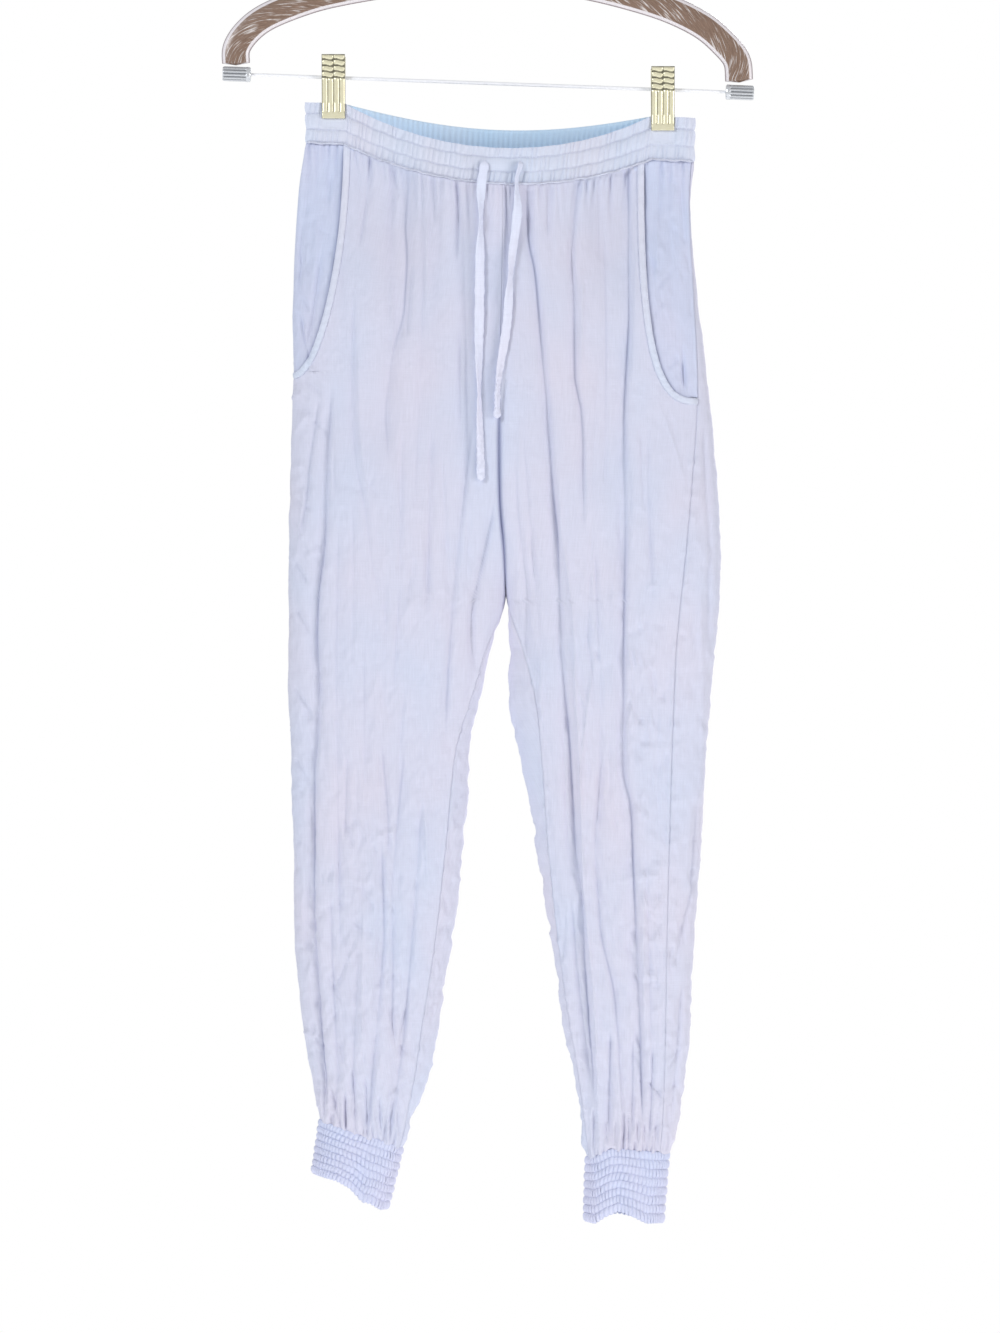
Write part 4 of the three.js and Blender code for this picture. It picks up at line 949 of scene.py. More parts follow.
RIGHT_LEG = {
    "name": "right", "sign": -1, "rows": table(RIGHT_SECTIONS, SECTION_COLUMNS),
    "waist": (WAIST_RIGHT_EDGE, 5 * MM),
    "pocket": (-132 * MM, -441 * MM, 1.8), "ankle": -1094 * MM,
    "cuff_top": ((-81.7 * MM, -1106.8 * MM), (-151.4 * MM, -1082.8 * MM)),
    "cuff_bend_top": ((0, 0.3, 0.6, 1), (0, 0.5, -1.5, 0)),
}
LEFT_LEG = {
    "name": "left", "sign": 1, "rows": table(LEFT_SECTIONS, SECTION_COLUMNS),
    "waist": (5 * MM, WAIST_LEFT_EDGE),
    "pocket": (126.5 * MM, -463.5 * MM, 3), "ankle": -1111 * MM,
    "cuff_top": ((77.4 * MM, -1114.6 * MM), (147 * MM, -1110.2 * MM)),
    "cuff_bend_top": ((0, 0.08, 0.3, 0.62, 1), (0, 0, 6.5, 3, 0)),
}
RIGHT_LEG["long"] = {"front": RIGHT_FRONT_LONG, "side": [], "back": RIGHT_BACK_LONG}
RIGHT_LEG["short"] = {
    "front": RIGHT_FRONT_SHORT
    + hanging_creases(11, 30, -172, 0, -300, -900, (50, 190), (0.4, 1.3))
    + crossing_creases(12, 70, -180, -158, -380, -1060, 1.3)
    + crossing_creases(13, 64, -158, -80, -820, -1060)
    + crossing_creases(16, 44, -150, -20, -520, -820, 0.9),
    "side": crossing_creases(17, 50, -90, -5, -680, -1080, 1.3),
    "seam": seam_crinkles(18, inseam_x(RIGHT_LEG), -700, -1080, 6),
    "back": hanging_creases(14, 30, -175, 0, -290, -950, (60, 200), (0.4, 1.3))
    + crossing_creases(15, 60, -176, -30, -420, -1060, 1.6),
}
LEFT_LEG["long"] = {"front": LEFT_FRONT_LONG, "side": LEFT_SIDE_LONG, "back": LEFT_BACK_LONG}
LEFT_LEG["short"] = {
    "front": LEFT_FRONT_SHORT
    + hanging_creases(21, 30, 8, 160, -300, -900, (50, 190), (0.4, 1.3))
    + crossing_creases(22, 64, 112, 150, -620, -1060)
    + crossing_creases(27, 34, 60, 110, -620, -1060, 1.0),
    "side": crossing_creases(24, 50, 148, 190, -500, -1070, 1.3)
    + crossing_creases(28, 50, 8, 78, -650, -1090, 1.3),
    "seam": seam_crinkles(26, side_seam_x(LEFT_LEG), -520, -1090, 9)
    + seam_crinkles(29, inseam_x(LEFT_LEG), -700, -1090, 6),
    "back": hanging_creases(23, 30, 8, 185, -290, -950, (60, 200), (0.4, 1.3))
    + crossing_creases(25, 60, 40, 180, -420, -1070, 1.6),
}

FRONT_COLUMNS = 176
FRONT_ROWS = (108, 72, 172)
BACK_COLUMNS = 150
BACK_ROWS = (84, 58, 160)
NEAR_SHARE = 0.36
CLOTH_SHELL = 0.5 * MM
SEAM_TRIM = 0.05 * MM
HELD_WIDTH = 3.5 * MM
SEAM_GROOVE = 0.5 * MM
SEAM_GROOVE_HALF = 1.2 * MM
# Painted shade along the seam grooves: its strength and half width.
SEAM_DARK = 0.12
SEAM_DARK_HALF = 0.9 * MM
RISE_GROOVE = 3.2 * MM
RISE_GROOVE_HALF = 2.2 * MM
# Half width of the painted shadow down the groove between the legs at the rise.
RISE_DARK_HALF = 1.7 * MM


def every_third(count):
    """Places of the inner side's vertices along a row or column: each third, and the last."""
    return sorted(set(range(0, count - 1, 3)) | {count - 1})


def lowest_near(values, reach=3):
    """The lowest value within a few rows and columns of each place."""
    for axis in (0, 1):
        padding = [(reach, reach) if k == axis else (0, 0) for k in (0, 1)]
        padded = np.pad(values, padding, mode="edge")
        count = values.shape[axis]
        moved = [np.take(padded, range(k, k + count), axis=axis) for k in range(2 * reach + 1)]
        values = np.min(moved, axis=0)
    return values


def shell_piece(name, points, inner, cloth_uv, material, flip=False, crease=None):
    """A closed thin shell: its outer side has all the points, and its inner side each third one,
    with the whole rim between them."""
    rows, columns, _ = points.shape
    outer_index = np.arange(rows * columns).reshape(rows, columns)
    kept_rows, kept_columns = every_third(rows), every_third(columns)
    used = np.zeros((rows, columns), dtype=bool)
    used[np.ix_(kept_rows, kept_columns)] = True
    used[[0, -1], :] = True
    used[:, [0, -1]] = True
    inner_index = np.full((rows, columns), -1)
    inner_index[used] = rows * columns + np.arange(used.sum())
    faces = np.stack([outer_index[:-1, 1:], outer_index[1:, 1:], outer_index[1:, :-1],
                      outer_index[:-1, :-1]], axis=-1).reshape(-1, 4).tolist()
    for r0, r1 in zip(kept_rows, kept_rows[1:]):
        for c0, c1 in zip(kept_columns, kept_columns[1:]):
            top = range(c0, c1 + 1) if r0 == 0 else (c0, c1)
            bottom = range(c1, c0 - 1, -1) if r1 == rows - 1 else (c1, c0)
            right = range(r0 + 1, r1) if c1 == columns - 1 else ()
            left = range(r1 - 1, r0, -1) if c0 == 0 else ()
            face = [inner_index[r0, c] for c in top] + [inner_index[r, c1] for r in right]
            face += [inner_index[r1, c] for c in bottom] + [inner_index[r, c0] for r in left]
            faces.append([int(i) for i in face[::-1]])
    rim = ([(0, c) for c in range(columns)] + [(r, columns - 1) for r in range(1, rows)]
           + [(rows - 1, c) for c in range(columns - 2, -1, -1)]
           + [(r, 0) for r in range(rows - 2, 0, -1)])
    for (r0, c0), (r1, c1) in zip(rim, rim[1:] + rim[:1]):
        faces.append([int(outer_index[r1, c1]), int(outer_index[r0, c0]),
                      int(inner_index[r0, c0]), int(inner_index[r1, c1])])
    if flip:
        faces = [face[::-1] for face in faces]
    mesh = bpy.data.meshes.new(name)
    vertices = np.concatenate([points.reshape(-1, 3), inner[used]])
    mesh.from_pydata(vertices.tolist(), [], faces)
    layer = mesh.uv_layers.new(name="cloth")
    uv = np.concatenate([cloth_uv.reshape(-1, 2), cloth_uv[used]])
    corners = np.array([i for face in faces for i in face])
    layer.data.foreach_set("uv", uv[corners].astype(np.float32).ravel())
    if crease is not None:
        store_painted_shade(mesh, np.concatenate([crease.ravel(), np.zeros(used.sum())]))
    mesh.polygons.foreach_set("use_smooth", np.ones(len(faces), dtype=bool))
    mesh.materials.append(material)
    mesh.update()
    piece = bpy.data.objects.new(name, mesh)
    bpy.context.scene.collection.objects.link(piece)
    return piece


def panel_levels(leg, counts):
    """Heights of a panel's rows: beside the pocket, down the rise, and down the leg, where they
    lie closer together towards the ankle."""
    pocket = pocket_levels(leg, counts[0])
    rise = np.linspace(leg["pocket"][1], CROTCH, counts[1] + 1)[1:]
    lower = mix(CROTCH, leg["ankle"], 1 - (1 - np.linspace(0, 1, counts[2] + 1)[1:]) ** 1.2)
    return np.concatenate([pocket, rise, lower])


def leg_panel(leg, front):
    """One front or back panel as a thin shell."""
    z = panel_levels(leg, FRONT_ROWS if front else BACK_ROWS)
    seam, inseam = seam_angles(leg, z)
    end = inseam if front else -np.where(z >= CROTCH, inseam, 2 * math.pi - inseam)
    lengths, dense = row_lengths(leg, z, seam, end)
    total = lengths[:, -1]
    first = np.full_like(z, SEAM_TRIM)
    if front:
        edge = angle_at(leg, z, pocket_edge_x(leg, z))
        to_edge = np.array([np.interp(e, a, l) for e, a, l in zip(edge, dense, lengths)])
        first = np.maximum(first, np.where(z > leg["pocket"][1], to_edge, 0))
    last = total - np.where(z > CROTCH, 0, SEAM_TRIM)
    columns = FRONT_COLUMNS if front else BACK_COLUMNS
    near = round(columns * NEAR_SHARE)
    split = NEAR_SHARE * total
    angle, length = spread_angles(lengths, dense, first, split, near)
    far_angle, far_length = spread_angles(lengths, dense, split, last, columns - near + 1)
    angle = np.concatenate([angle, far_angle[:, 1:]], axis=1)
    length = np.concatenate([length, far_length[:, 1:]], axis=1)
    level = np.repeat(z[:, None], columns, axis=1)
    base, normal, depth, shared, dark = leg_surface(leg, angle, level, front)
    to_inner = total[:, None] - length
    hold = ease(0, HELD_WIDTH, np.minimum(length, to_inner))
    groove = np.exp(-(to_inner / SEAM_GROOVE_HALF) ** 2) + np.exp(-(length / SEAM_GROOVE_HALF) ** 2)
    groove = SEAM_GROOVE * groove * np.where(level > CROTCH, ease(0, 2 * MM, to_inner), 1)
    relief = depth * hold + shared - groove
    points = base + normal * relief[..., None]
    inner = base + normal * (lowest_near(relief) - CLOTH_SHELL)[..., None]
    deep = ease(-455 * MM, -500 * MM, level) * ease(-610 * MM, -570 * MM, level)
    sunk = RISE_GROOVE * deep * np.exp(-(to_inner / RISE_GROOVE_HALF) ** 2) * (1 if front else -0.4)
    points[..., 1] += sunk
    inner[..., 1] += sunk
    # A painted shadow down the groove between the legs at the rise, and painted shade along the
    # seams.
    at_rise = ease(-455 * MM, -490 * MM, level) * ease(CROTCH - 8 * MM, CROTCH, level)
    dark = np.maximum(dark * hold, at_rise * np.exp(-(to_inner / RISE_DARK_HALF) ** 2))
    at_seam = np.exp(-(np.minimum(length, to_inner) / SEAM_DARK_HALF) ** 2)
    dark = np.maximum(dark, SEAM_DARK * at_seam)
    cloth_uv = np.stack([length, -level], axis=-1)
    flip = (leg["sign"] > 0) != front
    name = ("front_panel_" if front else "back_panel_") + leg["name"]
    piece = shell_piece(name, points, inner, cloth_uv, cloth, flip=flip, crease=dark)
    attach(piece, "root")
    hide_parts(("front_" if front else "back_") + leg["name"])


for leg in (RIGHT_LEG, LEFT_LEG):
    leg_panel(leg, True)
    leg_panel(leg, False)

# The pockets
# Each scooped mouth shows the facing of the pocket bag behind it, a shade deeper because it lies
# double. The mouth is finished with a narrow folded strip, stitched along both sides.
POCKET_COLOUR = (0.61, 0.65, 0.80, 1)
DOUBLED_COLOUR = (0.68, 0.72, 0.83, 1)
FACING_ROWS = 90
FACING_COLUMNS = 56
FACING_SINK = 1.3 * MM
HIDDEN_SINK = 1.6 * MM
HIDDEN_WIDTH = 9 * MM
FACING_GATHERS = 11
FACING_CREASES = 0.9
FACING_CRUMPLE = 1.5
MOUTH_SHADOW = 0.55
MOUTH_SHADOW_HALF = 2.2 * MM
FACING_SHORT = {
    "right": [(-141, -262, -146, -300, 0, -1.6, 2, 2), (-150, -330, -164, -425, 0, -2.0, 2, 2),
              (-166, -300, -171, -385, -2, -1.8, 2, 2), (-172, -385, -160, -438, 0, -2, 1.6, 1.6),
              (-166, -396, -164, -438, 1, 1.5, 1.5, 1.5), (-156, -300, -160, -390, 2, 1.2, 4, 4),
              (-170, -340, -158, -350, 0, -1.1, 1.6, 1.6), (-172, -372, -160, -392, 0, -1.3, 2, 2)],
    "left": [(145, -268, 158, -287, 0, -1.5, 1.6, 1.6), (132, -395, 147, -377, 0, -1.2, 1.4, 1.4),
             (134, -377, 154, -350, 1, -1.3, 1.5, 1.5), (160, -425, 162, -461, 0, -2, 1.6, 1.6),
             (159.5, -410, 161, -458, 0, -1.2, 1.5, 1.5), (138, -290, 137, -380, 0, 1.2, 3, 3),
             (156, -262, 162, -340, 1, -1.5, 2.5, 2.5), (148, -300, 150, -400, 1, -1.0, 3, 5)],
}

pocket_cloth = cloth_material("viscose_in_pocket", POCKET_COLOUR)
doubled_cloth = cloth_material("viscose_band", DOUBLED_COLOUR)


def thin_shell(piece, thickness):
    """Gives a small sheet its thickness on the inner side."""
    solidify = piece.modifiers.new("thickness", "SOLIDIFY")
    solidify.thickness = thickness
    solidify.offset = -1


def pocket_facing(leg):
    """The facing starts level with the side seam and sinks behind the pocket's edge."""
    z = pocket_levels(leg, FACING_ROWS)[:-1]
    seam, _ = seam_angles(leg, z)
    lengths, dense = row_lengths(leg, z, seam, np.full_like(z, math.pi / 2))
    edge = angle_at(leg, z, pocket_edge_x(leg, z))
    reach = np.array([np.interp(e, a, l) for e, a, l in zip(edge, dense, lengths)])
    last = np.minimum(lengths[:, -1], reach + HIDDEN_WIDTH)
    first = np.full_like(z, SEAM_TRIM)
    angle, length = spread_angles(lengths, dense, first, last, FACING_COLUMNS)
    level = np.repeat(z[:, None], FACING_COLUMNS, axis=1)
    base, normal, _, shared, _ = leg_surface(leg, angle, level, True)
    x, shown_z = base[..., 0], base[..., 2]
    sunk = ease(0, 1, length / (0.6 * reach[:, None]))
    side = sorted((leg["pocket"][0] / MM, float(leg["rows"]["outer"][2] / MM)))
    creases = FACING_SHORT[leg["name"]] + crossing_creases(31, 16, *side, -290, -430, 1.2)
    below = waist_seam(x, True) - shown_z
    gathered, gathered_dark = gathers(WAIST_GATHERS, 34, x, below, *side, FACING_GATHERS)
    depth = FACING_CREASES * short_relief(creases, x, shown_z)
    depth = depth + FACING_CRUMPLE * crumple(33, x, shown_z) + gathered
    depth = depth * ease(0, HELD_WIDTH, length)
    sunk = sunk * ease(0, 10 * MM, below)
    hidden = HIDDEN_SINK * ease(-1 * MM, 3 * MM, length - reach[:, None]) * ease(0, 10 * MM, below)
    points = base + normal * (depth + shared * (1 - sunk) - FACING_SINK * sunk - hidden)[..., None]
    at_mouth = np.exp(-((reach[:, None] - length) / MOUTH_SHADOW_HALF) ** 2)
    shadow = MOUTH_SHADOW * at_mouth * ease(0, 20 * MM, below)
    shadow = np.clip(shadow + 1.5 * gathered_dark, 0, 1)
    piece = grid_piece("pocket_bag_" + leg["name"], points, np.stack([length, -level], axis=-1),
                       pocket_cloth, flip=leg["sign"] < 0, crease=shadow)
    thin_shell(piece, CLOTH_SHELL)
    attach(piece, "root")
    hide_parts("pocket_facing_" + leg["name"])


def on_front_panel(leg, x, z, out):
    """Points on a front panel's folded cloth at the given x and level, moved out."""
    seam, inseam = seam_angles(leg, z[:, :1])
    lengths, dense = row_lengths(leg, z[:, 0], seam[:, 0], inseam[:, 0])
    angle = angle_at(leg, z, x)
    from_seam = np.stack([np.interp(a, d, l) for a, d, l in zip(angle, dense, lengths)])
    base, normal, depth, shared, _ = leg_surface(leg, angle, z, True)
    relief = depth * ease(0, HELD_WIDTH, from_seam) + shared + out
    return base + normal * relief[..., None], normal


STITCH_LENGTH = 2.6 * MM
STITCH_RADIUS = 0.22 * MM
STITCH_SECTION = 5
all_stitches = []


def stitch_row(line, outward, share=0.72):
    """Notes a row of stitches along a line of points: one short thread for each stitch length."""
    steps = np.linalg.norm(np.diff(line, axis=0), axis=1)
    length = np.concatenate([[0], np.cumsum(steps)])
    starts = np.arange(0, length[-1] - STITCH_LENGTH, STITCH_LENGTH)

    def at(place, values):
        return np.stack([np.interp(place, length, values[:, k]) for k in range(3)], axis=1)

    all_stitches.append((at(starts, line), at(starts + share * STITCH_LENGTH, line),
                         at(starts, outward)))


STRIP_ROWS = 170
STRIP_COLUMNS = 11
STRIP_WIDTH = 6 * MM
STRIP_HEIGHT = 1.0 * MM
STRIP_PUCKER = 0.18 * MM
STRIP_FOLD_DARK = 0.3
STRIP_SHELL = 0.7 * MM


def pocket_strip(leg):
    """The folded strip follows the mouth: its inner line lies a strip's width inside the edge."""
    count, columns = STRIP_ROWS, STRIP_COLUMNS
    z = pocket_levels(leg, count)
    x = pocket_edge_x(leg, z)
    way = np.stack([np.gradient(x), np.gradient(z)], axis=-1)
    way /= np.linalg.norm(way, axis=-1, keepdims=True)
    inward = np.stack([way[:, 1], -way[:, 0]], axis=-1) * leg["sign"]
    share = np.linspace(0, 1, columns)
    width = STRIP_WIDTH * share
    strip_x = x[:, None] + inward[:, :1] * width
    raised = STRIP_HEIGHT * np.sin(np.pi * np.clip(share, 0.03, 0.97)) ** 0.3
    pucker = STRIP_PUCKER * np.sin(np.arange(count)[:, None] * 0.9 + 3 * share)
    strip_z = np.repeat(z[:, None], columns, axis=1)
    points, normal = on_front_panel(leg, strip_x, strip_z, raised[None] + pucker)
    points[..., 2] += inward[:, 1:] * width
    along_edge = np.concatenate([[0], np.cumsum(np.hypot(np.diff(x), np.diff(z)))])
    cloth_uv = np.stack(np.broadcast_arrays(width[None], -along_edge[:, None]), axis=-1)
    # Painted shade along the strip's folded outer edge.
    fold_dark = STRIP_FOLD_DARK * np.exp(-((share - 0.97) / 0.05) ** 2)
    piece = grid_piece("pocket_strip_" + leg["name"], points, cloth_uv, doubled_cloth,
                       flip=leg["sign"] < 0, crease=np.repeat(fold_dark[None], count, axis=0))
    thin_shell(piece, STRIP_SHELL)
    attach(piece, "root")
    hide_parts("pocket_edge_" + leg["name"])
    for column in (2, columns - 2):
        stitch_row(points[:, column], normal[:, column])


for leg in (RIGHT_LEG, LEFT_LEG):
    pocket_facing(leg)
    pocket_strip(leg)

# The waistband
# A casing of doubled cloth with elastic in it. Rows of stitching divide it into a ruffled top
# edge, the puffed drawstring channel and a lower band, all drawn into fine gathers, and a corded
# overlock line joins it to the legs.
# The casing's inside is a lighter, bluer copy of the viscose: painted light, to lift it out of the
# shade it lies in.
LIT_INSIDE_COLOUR = (0.66, 0.84, 1.0, 1)
BAND_GATHERS = 72
BAND_COLUMNS = 720
BAND_PARTS = [
    {"from": 0, "to": 0.27, "rows": 9, "puff": 0.4, "gather": 0.62, "open_top": True},
    {"from": 0.27, "to": 0.66, "rows": 12, "puff": 1.1, "gather": 0.5, "open_top": False},
    {"from": 0.66, "to": 1, "rows": 10, "puff": 0.6, "gather": 0.62, "open_top": False},
]
BAND_PINCHED_TOP = 2.7 * MM
BAND_PINCHED_BOTTOM = 4.1 * MM
BAND_WALL = 2.0 * MM
# Painted shade in the troughs of the band's gathers.
BAND_RIB_DARK = 0.17
BAND_SEAM_WAVE = 0.35 * MM
BAND_END_BULGE = 1.7 * MM
BAND_INSIDE_ROWS = 12
BAND_INSIDE_FOLD = 0.28 * MM
# Painted shade inside the casing: deeper down it, and in stripes along its gathers.
BAND_INSIDE_DARK = 0.20
BAND_INSIDE_RIB_SHADE = 0.03
OVERLOCK_RADIUS = 1.0 * MM
OVERLOCK_OUT = 1.3 * MM
OVERLOCK_STEPS = 520

lit_inside_cloth = cloth_material("viscose_inside_painted_light", LIT_INSIDE_COLOUR)


def waistband(name, node, front):
    """Half the waistband: its outside rows puff out between the stitch lines and are raised into
    gathers; its inside is drawn into shallower ones."""
    out = -1 if front else 1
    k = np.arange(BAND_COLUMNS) / (BAND_COLUMNS - 1)
    x = mix(WAIST_RIGHT_EDGE, WAIST_LEFT_EDGE, k)
    top, bottom = waist_top(x, front), waist_seam(x, front)
    bow = WAIST_BOW * bow_at(x)
    edge = np.minimum(x - WAIST_RIGHT_EDGE, WAIST_LEFT_EDGE - x)
    end = ease(0, 5 * MM, edge)
    from_clip = np.minimum(abs(x - CLIP_LEFT_X), abs(x - CLIP_RIGHT_X))
    clip_free = ease(CLIP_WIDTH / 2 - 2 * MM, CLIP_WIDTH / 2 + 2 * MM, from_clip)
    tie_free = ease(12 * MM, 17 * MM, abs(x - 5 * MM)) if front else np.ones_like(x)
    random = np.random.default_rng(51 + front)
    rows = []
    shares = []
    dark = []
    for number, part in enumerate(BAND_PARTS):
        jitter = np.interp(k, np.linspace(0, 1, 60), random.uniform(-0.45, 0.45, 60))
        strength = np.interp(k, np.linspace(0, 1, 90), random.uniform(0.45, 1.25, 90))
        steps = np.linspace(0, 1, part["rows"])
        for step in steps[:-1] if number < 2 else steps:
            share = mix(part["from"], part["to"], step)
            swell = math.sin(math.pi * step) ** 0.6 if 0 < step < 1 else 0
            if part["open_top"]:
                swell = math.cos(math.pi / 2 * step) ** 0.5
            phase = BAND_GATHERS * k + jitter + number * 0.37 + 0.35 * step
            fold = 1 - 2 * np.abs(np.sin(np.pi * phase)) ** 1.2
            held = clip_free if share < 0.6 else 1
            flat = tie_free if number == 1 else 1
            raised = part["puff"] * swell * (0.45 + 0.55 * flat) - 0.5 * (swell == 0)
            raised = raised - part["gather"] * fold * strength * (0.3 + 0.7 * swell) * flat
            wave = 0.5 * np.sin(x / (19 * MM) + number * 1.7) * swell
            half = mix(BAND_PINCHED_TOP, BAND_PINCHED_BOTTOM, share) + bow
            half = half + (held * raised + wave) * MM * mix(0.3, 1, end) - 0.9 * MM * (1 - end)
            seam_wave = BAND_SEAM_WAVE * np.sin(x / (3.1 * MM) + number) * clip_free
            down = mix(top, bottom, share) + seam_wave * (0.3 if share in (0, 1) else 1)
            bulge = BAND_END_BULGE * swell * np.exp(-edge / (5 * MM))
            bulge = bulge * (0.6 + 0.4 * math.sin(7 * share))
            wide = x + bulge * np.where(x > 0, 1, -1)
            rows.append(np.stack([wide, out * half, down], axis=-1))
            shares.append(share)
            # Painted shade in the troughs of the gathers, and a painted shadow along the stitch
            # lines.
            rib = np.clip((fold * strength - 0.1) * 1.2, 0, 1) ** 2
            at_stitches = 0.02 if share == 1 else 0.09 + 0.06 * strength
            dark.append((BAND_RIB_DARK * rib * flat if swell else at_stitches) * clip_free)
    outside = len(rows)
    for share in np.linspace(1, 0, BAND_INSIDE_ROWS):
        phase = BAND_GATHERS * k + 0.2 * np.sin(x / (11 * MM)) + 0.3 * share
        fold = BAND_INSIDE_FOLD * np.cos(2 * np.pi * phase)
        half = mix(BAND_PINCHED_TOP, BAND_PINCHED_BOTTOM, share) + bow - BAND_WALL
        half = half + (fold - 0.2 * MM) * clip_free * end + 0.6 * MM * (1 - end)
        rows.append(np.stack([x, out * half, mix(top, bottom, share)], axis=-1))
        shares.append(2 - share)
        # Painted shade, darker lower down inside the casing and in stripes along its gathers.
        deep_inside = BAND_INSIDE_DARK * ease(0.1, 0.5, share)
        dark.append(deep_inside + BAND_INSIDE_RIB_SHADE * (1 + np.cos(2 * np.pi * phase)))
    rows.append(rows[0])
    shares.append(2)
    dark.append(dark[0])
    points = np.stack(rows)
    cloth_uv = np.stack(np.broadcast_arrays(
        x[None] * 1.6, np.array(shares)[:, None] * 0.035), axis=-1)
    second_rows = np.zeros(len(rows) - 1)
    second_rows[outside:] = 1
    # The inside rows take the painted-light copy of the viscose.
    piece = grid_piece(name, points, cloth_uv, doubled_cloth, flip=not front, second_material=lit_inside_cloth,
                       second_rows=second_rows, crease=np.clip(dark, 0, 1))
    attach(piece, "root")
    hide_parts(node)
    outward = np.zeros((BAND_COLUMNS, 3))
    outward[:, 1] = out
    first, second = BAND_PARTS[0]["rows"] - 1, BAND_PARTS[0]["rows"] + BAND_PARTS[1]["rows"] - 2
    for row in (first, second):
        stitch_row(points[row] + outward * 0.5 * MM, outward)


waistband("waist_front", "waistband_front", True)
waistband("waist_back", "waistband_back", False)


def tube_piece(name, path, radius, around, material, closed=False):
    """A round tube along a path of points; radius is one number or one for each point."""
    way = np.gradient(path, axis=0)
    way /= np.linalg.norm(way, axis=1, keepdims=True)
    side = np.cross(way, (0, 0.1, 1))
    side /= np.linalg.norm(side, axis=1, keepdims=True)
    other = np.cross(way, side)
    angle = np.arange(around) / around * 2 * np.pi
    ring = (side[:, None] * np.cos(angle)[None, :, None]
            + other[:, None] * np.sin(angle)[None, :, None])
    size = np.broadcast_to(radius, len(path)).copy()
    if not closed:
        size[[0, -1]] *= 0.02
    points = path[:, None] + ring * size[:, None, None]
    steps = np.linalg.norm(np.diff(path, axis=0), axis=1)
    length = np.concatenate([[0], np.cumsum(steps)])
    around_uv = angle[None] / (2 * np.pi)
    cloth_uv = np.stack(np.broadcast_arrays(around_uv, length[:, None]), axis=-1)
    return grid_piece(name, points, cloth_uv, material, ring=True)


def overlock_line(front):
    """The corded seam line under the waistband, a little wavy, as its gathers push it about."""
    share = np.linspace(0, 1, OVERLOCK_STEPS)
    x = mix(WAIST_RIGHT_EDGE + 1 * MM, WAIST_LEFT_EDGE - 1 * MM, share)
    z = waist_seam(x, front) + 0.2 * MM + 0.45 * MM * np.sin(x / (2.6 * MM)) * np.sin(x / (9 * MM))
    half = BAND_PINCHED_BOTTOM + WAIST_BOW * bow_at(x) + OVERLOCK_OUT
    end = ease(0, 5 * MM, np.minimum(x - WAIST_RIGHT_EDGE, WAIST_LEFT_EDGE - x))
    half = half + 0.3 * MM * np.sin(x / (1.9 * MM)) - 1.6 * MM * (1 - end)
    path = np.stack([x, half * (-1 if front else 1), z], axis=-1)
    name = "overlock_front" if front else "overlock_back"
    radius = OVERLOCK_RADIUS * (1 + 0.15 * np.sin(x / (0.9 * MM)))
    piece = tube_piece(name, path, radius, 8, tie_cloth)
    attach(piece, "root")


overlock_line(True)
overlock_line(False)

# The cuffs
# Each ankle is smocked: rows of elastic thread draw the cloth into fine upright puffs, and the
# hem below the last row ruffles a little. As they hang, the rows sag and rise unevenly.
CUFF_COLOUR = (0.66, 0.70, 0.87, 1)
CUFF_BUMP = 0.4 * MM
CUFF_SHELL = 0.7 * MM
CUFF_COLUMNS = 264
CUFF_PUFFS = 60
CUFF_STEPS = 9
CUFFS = {
    "right": {"inner_top": (-81.7, -1106.8), "outer_top": (-151.4, -1082.8),
              "inner_bottom": (-94.6, -1159.3), "outer_bottom": (-158.2, -1128.3), "rows": 8,
              "bend_bottom": ((0, 0.08, 0.22, 0.33, 0.5, 0.68, 0.85, 1),
                              (0.5, -4, -1.5, -3.8, 3, 4.4, 2, 0)), "dent": (0.42, 5.0)},
    "left": {"inner_top": (77.4, -1114.6), "outer_top": (147, -1110.2),
             "inner_bottom": (75.7, -1169.5), "outer_bottom": (142, -1171.3), "rows": 8,
             "bend_bottom": ((0, 0.12, 0.25, 0.42, 0.6, 0.8, 1), (0, -2, 5, 10, 6.5, 0, 1)),
             "dent": (0.44, 3.0)},
}
CUFF_TOP_DEPTH = 13 * MM
CUFF_BOTTOM_DEPTH = 15 * MM
# Painted shade along the elastic rows and in the valleys between the puffs.
CUFF_ROW_DARK = 0.13
CUFF_PUFF_DARK = 0.09
DENT_HALF = 0.13
HEM_RUFFLE = 0.7 * MM

cuff_cloth = cloth_material("viscose_smocked", CUFF_COLOUR, CUFF_BUMP)


